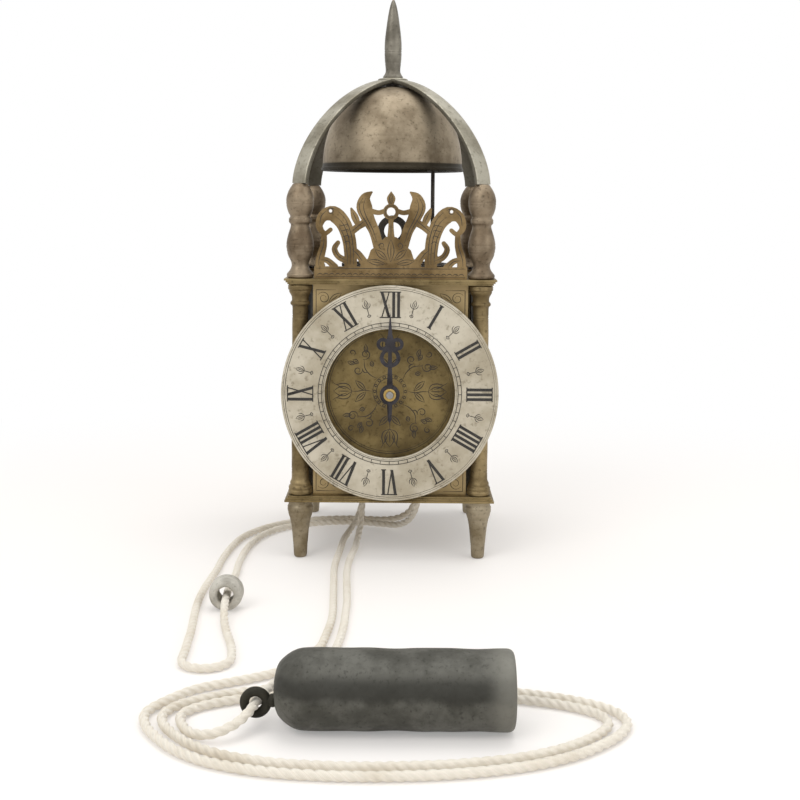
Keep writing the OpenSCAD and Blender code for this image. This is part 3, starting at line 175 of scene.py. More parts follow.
class Shader:
    """One material under construction, with the Principled surface it feeds."""

    def __init__(self, name: str) -> None:
        """Makes an empty material with its surface and its output."""
        self.material = bpy.data.materials.new(name)
        self.material.use_nodes = True
        self.tree = self.material.node_tree
        self.tree.nodes.clear()
        self.surface = self.node("ShaderNodeBsdfPrincipled")
        self.node("ShaderNodeOutputMaterial", {}, {"Surface": self.surface.outputs["BSDF"]})
        self.place = self.node("ShaderNodeTexCoord").outputs["Object"]

    def node(self, kind: str, settings: dict | None = None,
             inputs: dict | None = None) -> bpy.types.Node:
        """Adds a node of any kind.

        Args:
            kind: the node's type name.
            settings: the node's own settings, set first.
            inputs: a value, Value or socket for each named or numbered input.

        Returns:
            The new node.
        """
        made = self.tree.nodes.new(kind)
        for name, value in (settings or {}).items():
            setattr(made, name, value)
        for name, value in (inputs or {}).items():
            socket = made.inputs[name]
            if isinstance(value, Value):
                self.tree.links.new(value.socket, socket)
            elif isinstance(value, bpy.types.NodeSocket):
                self.tree.links.new(value, socket)
            elif isinstance(value, tuple) and len(value) == 3 and socket.type == "RGBA":
                socket.default_value = (*value, 1.0)
            else:
                socket.default_value = value
        return made

    def noise(self, scale: float, detail: float = 3.0, rough: float = 0.55,
              stretch: Sequence[float] = (1.0, 1.0, 1.0)) -> Value:
        """Cloudy noise from 0 to 1 over the piece.

        Args:
            scale: blotches per metre.
            detail: how many finer layers are added.
            rough: how strong the finer layers are.
            stretch: factors on the piece's x, y and z, which draw the blotches into streaks.

        Returns:
            The noise.
        """
        place = self.node("ShaderNodeMapping", {}, {"Vector": self.place,
                                                    "Scale": tuple(stretch)})
        made = self.node("ShaderNodeTexNoise", {}, {
            "Vector": place.outputs[0], "Scale": scale, "Detail": detail, "Roughness": rough})
        return Value(self.tree, made.outputs[0])

    def coordinates(self) -> tuple[Value, Value, Value]:
        """The piece's own x, y and z."""
        split = self.node("ShaderNodeSeparateXYZ", {}, {"Vector": self.place})
        return tuple(Value(self.tree, split.outputs[k]) for k in range(3))

    def blend(self, mask: Value, low: "Colour | bpy.types.NodeSocket",
              high: "Colour | bpy.types.NodeSocket") -> bpy.types.NodeSocket:
        """Mixes two colours by a mask and returns the colour's socket."""
        made = self.node("ShaderNodeMix", {"data_type": "RGBA", "blend_type": "MIX"}, {
            0: mask, 6: low, 7: high})
        return made.outputs[2]

    def edges(self, radius: float) -> Value:
        """1 along outer and inner edges, 0 on flat faces.

        The mask is how far the normal rounded over the radius leans from the true normal.
        """
        soft = self.node("ShaderNodeBevel", {"samples": 4}, {"Radius": radius})
        true = self.node("ShaderNodeNewGeometry")
        lean = self.node("ShaderNodeVectorMath", {"operation": "DOT_PRODUCT"}, {
            0: soft.outputs[0], 1: true.outputs["Normal"]})
        return (1.0 - Value(self.tree, lean.outputs["Value"])).rise(0.01, 0.2)

    def bump(self, height: Value, distance: float,
             under: bpy.types.NodeSocket | None = None) -> bpy.types.NodeSocket:
        """Adds a Bump node of that depth in metres and returns its normal."""
        inputs: dict = {"Height": height, "Distance": distance, "Strength": 1.0}
        if under is not None:
            inputs["Normal"] = under
        return self.node("ShaderNodeBump", {}, inputs).outputs[0]

    def feed(self, **sockets: object) -> None:
        """Sets or links the surface's sockets; an underscore stands for a space."""
        for name, value in sockets.items():
            socket = self.surface.inputs[name.replace("_", " ")]
            if isinstance(value, Value):
                self.tree.links.new(value.socket, socket)
            elif isinstance(value, bpy.types.NodeSocket):
                self.tree.links.new(value, socket)
            elif isinstance(value, tuple) and socket.type == "RGBA":
                socket.default_value = (*value, 1.0)
            else:
                socket.default_value = value


# ------------------------------------------------------------------ finishes


class Marks(Enum):
    """The way a surface was worked: factors that draw its fine marks out."""

    TURNED = (1.0, 1.0, 34.0)
    TURNED_LYING = (34.0, 1.0, 1.0)
    FILED_UP = (26.0, 3.0, 1.0)
    CAST = (3.0, 3.0, 3.0)


@dataclass(frozen=True)
class Metal:
    """A metal finish: clean, tarnished and dirty colours, gloss, and its fine marks.

    Attributes:
        name: the material's name.
        clean: screen colour where it is handled and worn.
        dull: screen colour of the tarnish.
        dirt_and_shade: screen colour of the dirt in pits and corners, and of painted shade where a
            finish paints it.
        metallic: how far it is bare metal.
        gloss: roughness of the clean and of the tarnished parts.
        marks: direction of the fine marks.
        depth: depth of the fine marks, metres.
        blotch: tarnish blotches per metre.
        dents: depth of the wide dents, metres.
        worn: strength of the bright wear on edges.
    """

    name: str
    clean: Colour
    dull: Colour
    dirt_and_shade: Colour
    metallic: float = 0.82
    gloss: tuple[float, float] = (0.34, 0.56)
    marks: Marks = Marks.CAST
    depth: float = 0.00003
    blotch: float = 42.0
    dents: float = 0.0
    worn: float = 0.55

    def make(self) -> bpy.types.Material:
        """Builds the material.

        Tarnish follows cloudy noise, dirt sits in the lows of a finer noise, edges are
        worn towards the clean colour, and stretched noise gives tool marks.

        Returns:
            The material.
        """
        shader = Shader(self.name)
        cloud = shader.noise(self.blotch, 5.0, 0.6)
        speck = shader.noise(self.blotch * 9.0, 3.0, 0.6)
        lines = shader.noise(75.0, 4.0, 0.65, self.marks.value)
        edge = shader.edges(0.0007)
        tint = shader.blend(cloud.rise(0.36, 0.66), linear(self.clean), linear(self.dull))
        tint = shader.blend(speck.rise(0.54, 0.74) * 0.55, tint, linear(self.dirt_and_shade))
        tint = shader.blend(lines.rise(0.56, 0.8) * 0.28, tint, linear(self.dirt_and_shade))
        tint = shader.blend(edge * self.worn, tint, linear(self.clean))
        tint = self.special(shader, tint, cloud)
        low, high = self.gloss
        gloss = low + cloud * (high - low) + speck * 0.12 - edge * 0.08
        normal = shader.bump(lines + speck * 0.5, self.depth)
        if self.dents:
            normal = shader.bump(shader.noise(110.0, 2.0), self.dents, normal)
        shader.feed(Base_Color=tint, Metallic=self.metallic, Roughness=gloss, Normal=normal)
        return shader.material

    def special(self, shader: Shader, tint: bpy.types.NodeSocket,
                cloud: Value) -> bpy.types.NodeSocket:
        """Adds what only one kind of piece shows: nothing on plain metal.

        Args:
            shader: the material under construction.
            tint: the colour so far.
            cloud: the tarnish noise.

        Returns:
            The final colour.
        """
        return tint


@dataclass(frozen=True)
class BellMetal(Metal):
    """Bell bronze with painted shade: a nearly black band at the lip stands for the shadowed
    underside of the lip.

    Attributes:
        band: heights between which the lip's painted shade lies, metres.
        lip: screen colour of the painted shade at the lip.
    """

    band: tuple[float, float] = (0.2755, 0.2828)
    lip: Colour = (28, 24, 14)

    def special(self, shader: Shader, tint: bpy.types.NodeSocket,
                cloud: Value) -> bpy.types.NodeSocket:
        """Paints shade on the band at the lip, with a ragged upper edge."""
        low, high = self.band
        height = shader.coordinates()[2] + cloud * 0.001
        inside = height.rise(low - 0.0006, low) * (1.0 - height.rise(high - 0.0014, high))
        # painted shade: the band at the lip is blended nearly to black
        return shader.blend(inside * 0.9, tint, linear(self.lip))


@dataclass(frozen=True)
class CageMetal(Metal):
    """Strap brass with painted shade on its faces towards the bell, where the arms lie in one
    another's shade.

    Attributes:
        centre: height on the upright axis from which outwards is judged, metres.
        outward: cosines between which a face passes from inward to outward.
    """

    centre: float = 0.262
    outward: tuple[float, float] = (0.25, 0.7)

    def special(self, shader: Shader, tint: bpy.types.NodeSocket,
                cloud: Value) -> bpy.types.NodeSocket:
        """Paints shade on faces by n . p / |p|, with n a face's normal and p its place from
        centre.
        """
        out = shader.node("ShaderNodeVectorMath", {"operation": "ADD"}, {
            0: shader.place, 1: (0.0, 0.0, -self.centre)})
        way = shader.node("ShaderNodeVectorMath", {"operation": "NORMALIZE"}, {
            0: out.outputs[0]})
        face = shader.node("ShaderNodeNewGeometry").outputs["Normal"]
        lean = Value(shader.tree, shader.node("ShaderNodeVectorMath", {
            "operation": "DOT_PRODUCT"}, {0: way.outputs[0], 1: face}).outputs["Value"])
        inward = 1.0 - (lean + cloud * 0.1).rise(*self.outward)
        # painted shade: faces turned towards the bell are blended to the dark colour
        return shader.blend(inward * 0.7, tint, linear(self.dirt_and_shade))


@dataclass(frozen=True)
class DialMetal(Metal):
    """Dial brass with painted light: lighter in the corners outside the chapter ring, which the
    ring and the plates shade.

    Attributes:
        corner: screen colour of the painted light in the corners.
        middle: height of the dial's middle, metres.
        ring: distances from the middle between which the painted light comes in, metres.
    """

    corner: Colour = (186, 164, 122)
    middle: float = 0.120
    ring: tuple[float, float] = (0.066, 0.086)

    def special(self, shader: Shader, tint: bpy.types.NodeSocket,
                cloud: Value) -> bpy.types.NodeSocket:
        """Blends to the painted light's colour with the distance from the dial's middle."""
        x, _, z = shader.coordinates()
        up = z - self.middle
        away = (x * x + up * up) ** 0.5 + cloud * 0.004
        # painted light: the corners are lifted against the shade of the ring and the plates
        return shader.blend(away.rise(*self.ring) * 0.75, tint, linear(self.corner))


@dataclass(frozen=True)
class WeightMetal(Metal):
    """Old lead with painted shade: a dark band across its front, where the lying cylinder turns
    away from the light between its lit top and its bottom; it is paler towards the right-hand end.

    Attributes:
        painted_shade: screen colour of the painted shade on the front.
        pale: screen colour towards the right-hand end.
        painted_shade_low: heights between which the painted shade comes in, metres.
        painted_shade_high: heights between which it goes, metres.
        front: distances in front of the origin between which the front begins, metres.
        end: places along X between which the paler colour comes in, metres.
    """

    painted_shade: Colour = (44, 43, 37)
    pale: Colour = (150, 148, 138)
    painted_shade_low: tuple[float, float] = (0.0185, 0.0235)
    painted_shade_high: tuple[float, float] = (0.0275, 0.0335)
    front: tuple[float, float] = (0.352, 0.362)
    end: tuple[float, float] = (0.048, 0.06)

    def special(self, shader: Shader, tint: bpy.types.NodeSocket,
                cloud: Value) -> bpy.types.NodeSocket:
        """Paints shade in a ragged band of heights on the front and makes the right-hand end
        paler.
        """
        x, y, z = shader.coordinates()
        height = z + (cloud - 0.5) * 0.008
        band = height.rise(*self.painted_shade_low) * (1.0 - height.rise(*self.painted_shade_high))
        front = (0.0 - y).rise(*self.front)
        # painted shade: the band on the front is blended to the dark colour
        tint = shader.blend(band * front * 0.85, tint, linear(self.painted_shade))
        end = (x + (cloud - 0.5) * 0.01).rise(*self.end)
        return shader.blend(end * 0.42, tint, linear(self.pale))


@dataclass(frozen=True)
class Wax:
    """Hard black wax or paint in engraved lines, a little uneven."""

    name: str
    colour: Colour
    bare: Colour

    def make(self) -> bpy.types.Material:
        """Builds the material: worn spots show a paler shade."""
        shader = Shader(self.name)
        worn = shader.noise(420.0, 4.0, 0.6)
        tint = shader.blend(worn.rise(0.55, 0.78) * 0.5, linear(self.colour), linear(self.bare))
        shader.feed(Base_Color=tint, Roughness=0.45 + worn * 0.3,
                    Normal=shader.bump(worn, 0.00002))
        return shader.material


@dataclass(frozen=True)
class Cotton:
    """Laid cotton rope: yarns across each strand, darker in the grooves.

    Its pieces carry a UV map: u goes round the rope and v along it, in turns of the lay.
    """

    name: str
    clean: Colour
    soiled: Colour
    yarns: float = 30.0

    def make(self) -> bpy.types.Material:
        """Builds the material.

        Yarn ridges are sine waves of the UV's u and v together; a groove mask from the same
        UV darkens the lines between the three strands.

        Returns:
            The material.
        """
        shader = Shader(self.name)
        flat = shader.node("ShaderNodeUVMap", {"uv_map": "lay"}).outputs[0]
        split = shader.node("ShaderNodeSeparateXYZ", {}, {"Vector": flat})
        round_it = Value(shader.tree, split.outputs[0])
        along = Value(shader.tree, split.outputs[1])
        turn = 2.0 * math.pi
        strand = ((round_it - along) * (3.0 * turn)).sine()
        yarn = ((round_it * 2.0 + along * 3.0) * (turn * self.yarns / 5.0)).sine()
        cloud = shader.noise(38.0, 4.0)
        fuzz = shader.noise(1900.0, 3.0, 0.7)
        tint = shader.blend(cloud.rise(0.45, 0.75) * 0.45, linear(self.clean),
                            linear(self.soiled))
        # darker in the troughs between yarns and along the grooves between strands
        tint = shader.blend((0.0 - yarn).rise(0.1, 1.0) * 0.16, tint, linear(self.soiled))
        tint = shader.blend(strand.rise(0.75, 1.0) * 0.2, tint, linear(self.soiled))
        normal = shader.bump(yarn * 0.5 + fuzz, 0.00016)
        shader.feed(Base_Color=tint, Roughness=0.86 + fuzz * 0.1, Normal=normal)
        self._soften(shader)
        return shader.material

    @staticmethod
    def _soften(shader: Shader) -> None:
        """Gives the fibre its faint sheen, the same all over."""
        shader.feed(Sheen_Weight=0.35, Sheen_Roughness=0.5)


CASE_BRASS = Metal("case_brass", (148, 130, 92), (106, 90, 58), (58, 48, 30), worn=0.6)
FRET_BRASS = Metal("fret_brass", (140, 118, 82), (98, 79, 50), (52, 41, 25), worn=0.65)
DIAL_BRASS = DialMetal("dial_brass", (138, 120, 79), (101, 86, 55), (58, 47, 29),
                       gloss=(0.4, 0.6))
TURNED_BRASS = Metal("turned_brass", (142, 127, 106), (100, 85, 67), (54, 45, 32),
                     marks=Marks.TURNED, worn=0.4)
SPIRE_BRASS = Metal("spire_brass", (136, 131, 119), (98, 93, 83), (54, 50, 42),
                    marks=Marks.TURNED, worn=0.4)
FOOT_BRASS = Metal("foot_brass", (160, 149, 127), (122, 109, 85), (68, 58, 42),
                   marks=Marks.TURNED, worn=0.4)
PILLAR_BRASS = Metal("pillar_brass", (150, 132, 96), (106, 90, 60), (58, 47, 30),
                     marks=Marks.TURNED, worn=0.4)
STRAP_BRASS = CageMetal("strap_brass", (168, 163, 148), (130, 124, 108), (62, 57, 46))
BELL_BRONZE = BellMetal("bell_bronze", (148, 135, 114), (112, 99, 80), (68, 57, 42),
                        marks=Marks.TURNED, gloss=(0.4, 0.6), worn=0.35)
SILVERED = Metal("silvered", (200, 192, 174), (170, 160, 139), (112, 101, 80),
                 metallic=0.45, gloss=(0.42, 0.6), worn=0.3, blotch=30.0)
BLUED_STEEL = Metal("blued_steel", (70, 68, 72), (40, 37, 38), (24, 21, 20),
                    gloss=(0.3, 0.5), worn=0.4)
STEEL = Metal("steel", (168, 166, 162), (122, 118, 112), (62, 56, 50), gloss=(0.28, 0.5))
IRON = Metal("iron", (92, 87, 80), (70, 64, 58), (44, 38, 33), metallic=0.6,
             gloss=(0.5, 0.72), depth=0.00008, dents=0.0004)
EYE_IRON = Metal("eye_iron", (58, 55, 44), (36, 34, 26), (20, 18, 14), metallic=0.5,
                 gloss=(0.55, 0.75), depth=0.00008, dents=0.0004)
WHEEL_BRASS = Metal("wheel_brass", (196, 168, 104), (154, 126, 70), (88, 68, 36),
                    gloss=(0.28, 0.48), worn=0.45)
LEAD = WeightMetal("lead", (96, 95, 88), (68, 67, 60), (42, 41, 35), metallic=0.4,
                   gloss=(0.5, 0.7), marks=Marks.TURNED_LYING, depth=0.00009, blotch=55.0,
                   dents=0.0009, worn=0.5)
PALE_LEAD = Metal("pale_lead", (196, 192, 182), (160, 156, 146), (112, 108, 98),
                  metallic=0.3, gloss=(0.55, 0.75), depth=0.00008, blotch=90.0, dents=0.0005)
ROPE = Cotton("cotton_rope", (240, 233, 219), (202, 187, 160))
DOOR_BRASS = Metal("door_brass", (126, 107, 72), (100, 83, 54), (62, 51, 32), worn=0.6,
                   marks=Marks.FILED_UP)
BLACK_WAX = Wax("black_wax", (38, 35, 31), (96, 88, 74))
CUT_WAX = Wax("cut_wax", (38, 31, 20), (78, 63, 38))


class Finishes:
    """Makes each finish once, when it is first asked for."""

    def __init__(self) -> None:
        """Starts with no material made."""
        self._made: dict[str, bpy.types.Material] = {}

    def __call__(self, finish: "Metal | Wax | Cotton") -> bpy.types.Material:
        """The material of a finish."""
        if finish.name not in self._made:
            self._made[finish.name] = finish.make()
        return self._made[finish.name]


FINISH = Finishes()


# ------------------------------------------------------------------ mesh work


def grid_object(name: str, points: Array, wrap_u: bool = False, wrap_v: bool = False,
                uv: Array | None = None, keep: Array | None = None) -> bpy.types.Object:
    """Makes a mesh of quads from a grid of points.

    Args:
        name: the piece's name.
        points: array of rows, columns and three coordinates, metres.
        wrap_u: whether the last row joins the first.
        wrap_v: whether the last column joins the first.
        uv: two coordinates for each corner of the unwrapped grid, one more than the points
            along each wrapped side.
        keep: for each quad, whether it is made.

    Returns:
        The smooth-shaded object at the origin.
    """
    rows, cols = points.shape[:2]
    up = np.arange(rows if wrap_u else rows - 1)
    across = np.arange(cols if wrap_v else cols - 1)
    i, j = (a.ravel() for a in np.meshgrid(up, across, indexing="ij"))
    if keep is not None:
        i, j = i[keep.ravel()], j[keep.ravel()]
    ends = [(i, j), (i + 1, j), (i + 1, j + 1), (i, j + 1)]
    quads = np.stack([(a % rows) * cols + b % cols for a, b in ends], axis=1)
    mesh = bpy.data.meshes.new(name)
    mesh.vertices.add(rows * cols)
    mesh.vertices.foreach_set("co", points.reshape(-1).astype(np.float32))
    mesh.loops.add(quads.size)
    mesh.loops.foreach_set("vertex_index", quads.ravel().astype(np.int32))
    mesh.polygons.add(len(quads))
    mesh.polygons.foreach_set("loop_start", np.arange(0, quads.size, 4, dtype=np.int32))
    mesh.polygons.foreach_set("loop_total", np.full(len(quads), 4, dtype=np.int32))
    if uv is not None:
        layer = mesh.uv_layers.new(name="lay")
        corners = np.stack([uv[a, b] for a, b in ends], axis=1)
        layer.data.foreach_set("uv", corners.reshape(-1).astype(np.float32))
    mesh.update(calc_edges=True)
    mesh.shade_smooth()
    made = bpy.data.objects.new(name, mesh)
    bpy.context.scene.collection.objects.link(made)
    return made


def join(name: str, parts: Sequence[bpy.types.Object]) -> bpy.types.Object:
    """Joins objects into the first one and names it.

    Args:
        name: the joined piece's name.
        parts: objects at the origin.

    Returns:
        The joined object.
    """
    with bpy.context.temp_override(active_object=parts[0], object=parts[0],
                                   selected_objects=list(parts),
                                   selected_editable_objects=list(parts)):
        bpy.ops.object.join()
    parts[0].name = name
    return parts[0]


def weld(made: bpy.types.Object, reach: float = 1e-7) -> bpy.types.Object:
    """Merges doubled points, closes poles and turns the faces outwards."""
    work = bmesh.new()
    work.from_mesh(made.data)
    bmesh.ops.remove_doubles(work, verts=work.verts, dist=reach)
    bmesh.ops.dissolve_degenerate(work, dist=reach, edges=work.edges)
    bmesh.ops.recalc_face_normals(work, faces=work.faces)
    work.to_mesh(made.data)
    work.free()
    return made


def rounded(profile: Array, times: int = 3) -> Array:
    """Rounds a profile's corners by cutting each at a quarter and three quarters.

    Args:
        profile: points of radius and height.
        times: how many times the corners are cut.

    Returns:
        The rounded profile, with the same ends.
    """
    for _ in range(times):
        a, b = profile[:-1], profile[1:]
        cut = np.stack([0.75 * a + 0.25 * b, 0.25 * a + 0.75 * b], axis=1).reshape(-1, 2)
        profile = np.vstack([profile[:1], cut[1:-1], profile[-1:]])
    return profile


def distances(line: Array) -> Array:
    """How far along a line each of its points lies, from its first point."""
    return np.concatenate([[0.0], np.cumsum(np.linalg.norm(np.diff(line, axis=0), axis=1))])


def resampled(line: Array, count: int) -> Array:
    """That many points spaced evenly along a line."""
    run = distances(line)
    at = np.linspace(0.0, run[-1], count)
    return np.stack([np.interp(at, run, line[:, k]) for k in range(line.shape[1])], axis=1)


def even(line: Array, step: float) -> Array:
    """Points spaced evenly along a line of points, about a step apart."""
    return resampled(line, max(3, int(round(distances(line)[-1] / step)) + 1))


def revolved(name: str, profile: Array, centre: Sequence[float], axis: str = "Z",
             sides: int = 72, dent: Callable[[Array, Array], Array] | None = None,
             ) -> bpy.types.Object:
    """Turns a profile about an axis: x = r cos a, y = r sin a, z = height.

    Args:
        name: the piece's name.
        profile: points of radius and height along the axis, metres.
        centre: the point of the axis at height zero.
        axis: Z for an upright part, X or Y for a lying one.
        sides: how many columns go round.
        dent: gives a change of radius from angle and height.

    Returns:
        The closed piece.
    """
    angle = np.linspace(0.0, 2.0 * math.pi, sides, endpoint=False)[None, :]
    radius = profile[:, :1] + np.zeros_like(angle)
    height = profile[:, 1:] + np.zeros_like(angle)
    if dent is not None:
        radius = radius + dent(angle, height) * (radius > 1e-6)
    radius = np.maximum(radius, 0.0)
    ring = np.stack([radius * np.cos(angle), radius * np.sin(angle), height], axis=-1)
    turn = {"Z": (0, 1, 2), "X": (2, 0, 1), "Y": (1, 2, 0)}[axis]
    return weld(grid_object(name, ring[..., turn] + np.asarray(centre), wrap_v=True))


def turned_profile(points: Sequence[Sequence[float]], grooves: Sequence[float] = (),
                   depth: float = 0.22, step: float = 0.5) -> Array:
    """A turner's profile: rounded corners, even points and scribed grooves.

    Each groove takes depth * exp(-(s / 0.35 mm)^2) off the radius, where s is the distance
    along the profile's height.

    Args:
        points: radius and height of the profile's corners, mm.
        grooves: heights of the grooves, mm.
        depth: their depth, mm.
        step: spacing of the points, mm.

    Returns:
        The profile in metres.
    """
    line = even(rounded(np.asarray(points, float)), step)
    for height in grooves:
        line[:, 0] -= depth * np.exp(-(((line[:, 1] - height) / 0.35) ** 2)) * (line[:, 0] > 1)
    return line * MM


def smooth_path(points: Sequence[Sequence[float]], step: float) -> Array:
    """A Catmull-Rom curve through the points, then evenly spaced.

    The curve from b to c with neighbours a and d is half of
    2b + (c - a)t + (2a - 5b + 4c - d)t^2 + (3b - a - 3c + d)t^3.

    Args:
        points: the route's points.
        step: spacing along the curve.

    Returns:
        The curve's points.
    """
    p = np.asarray(points, float)
    p = np.vstack([p[:1], p, p[-1:]])
    a, b, c, d = (p[k:len(p) - 3 + k, None] for k in range(4))
    t = np.linspace(0.0, 1.0, 12, endpoint=False)[None, :, None]
    curve = 0.5 * (2 * b + (c - a) * t + (2 * a - 5 * b + 4 * c - d) * t ** 2
                   + (3 * b - a - 3 * c + d) * t ** 3)
    return even(np.vstack([curve.reshape(-1, p.shape[1]), p[-1:]]), step)


def carried(path: Array, start: Sequence[float] = (0.0, 1.0, 0.0)) -> tuple[Array, Array]:
    """Two side directions carried along a path without twisting.

    Args:
        path: points of the path.
        start: a direction that the first side leans to.

    Returns:
        The two side directions at each point.
    """
    along = np.gradient(path, axis=0)
    along /= np.linalg.norm(along, axis=1, keepdims=True)
    first = np.empty_like(path)
    side = np.asarray(start, float)
    for k, way in enumerate(along):
        side = side - way * float(side @ way)
        side = side / np.linalg.norm(side)
        first[k] = side
    return first, np.cross(along, first)


@dataclass(frozen=True)
class Lay:
    """How a rope is laid: three strands twisted together.

    Attributes:
        radius: outer radius of the rope, metres.
        pitch: length of one turn of a strand, metres.
        sides: columns round the rope.
        step: spacing of the rings, metres.
    """

    radius: float = 0.0025
    pitch: float = 0.0165
    sides: int = 18
    step: float = 0.0009

    def outline(self, angle: Array) -> Array:
        """Radius of three round strands seen end on.

        A strand of radius s stands at distance c from the middle; towards angle a from it
        the outline is c cos a + sqrt(s^2 - c^2 sin^2 a).

        Args:
            angle: angle from the first strand's middle.

        Returns:
            The radius at each angle.
        """
        third = 2.0 * math.pi / 3.0
        near = (angle + third / 2.0) % third - third / 2.0
        strand, centre = 0.57 * self.radius, 0.43 * self.radius
        return centre * np.cos(near) + np.sqrt(strand ** 2 - (centre * np.sin(near)) ** 2)

    def tube(self, name: str, path: Array) -> bpy.types.Object:
        """Carries the twisted outline along a path.

        Args:
            name: the piece's name.
            path: points about a step apart, metres.

        Returns:
            The closed rope with its "lay" UV map.
        """
        one, two = carried(path)
        run = distances(path)
        angle = np.linspace(0.0, 2.0 * math.pi, self.sides, endpoint=False)
        twist = 2.0 * math.pi * run[:, None] / self.pitch
        radius = self.outline(angle[None, :] - twist)[..., None]
        turn = angle[None, :, None]
        ring = path[:, None] + radius * (np.cos(turn) * one[:, None] + np.sin(turn) * two[:, None])
        ends = np.stack([np.repeat(path[k][None], self.sides, axis=0) for k in (0, -1)])
        points = np.concatenate([ends[:1], ring, ends[1:]])
        rows = np.concatenate([run[:1], run, run[-1:]]) / self.pitch
        uv = np.stack(np.meshgrid(rows, np.linspace(0.0, 1.0, self.sides + 1),
                                  indexing="ij")[::-1], axis=-1)
        return weld(grid_object(name, points, wrap_v=True, uv=uv))


def dress(made: bpy.types.Object, finish: "Metal | Wax | Cotton",
          body: str = "case", replaces: Sequence[str] = ()) -> bpy.types.Object:
    """Gives a new piece its finish, its body and the nodes it stands for.

    Args:
        made: the piece.
        finish: its finish.
        body: the body it moves with.
        replaces: CAD nodes it stands for.

    Returns:
        The piece.
    """
    made.data.materials.clear()
    made.data.materials.append(FINISH(finish))
    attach(made, body)
    if replaces:
        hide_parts(*replaces)
    LOG.info("%s rides on %s, %d faces", made.name, body, len(made.data.polygons))
    return made


def size_of(node: str) -> tuple[Array, Array]:
    """Lowest and highest corner of a CAD node as arrays."""
    low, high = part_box(node)
    return np.array(low), np.array(high)


# ------------------------------------------------------------------ studio


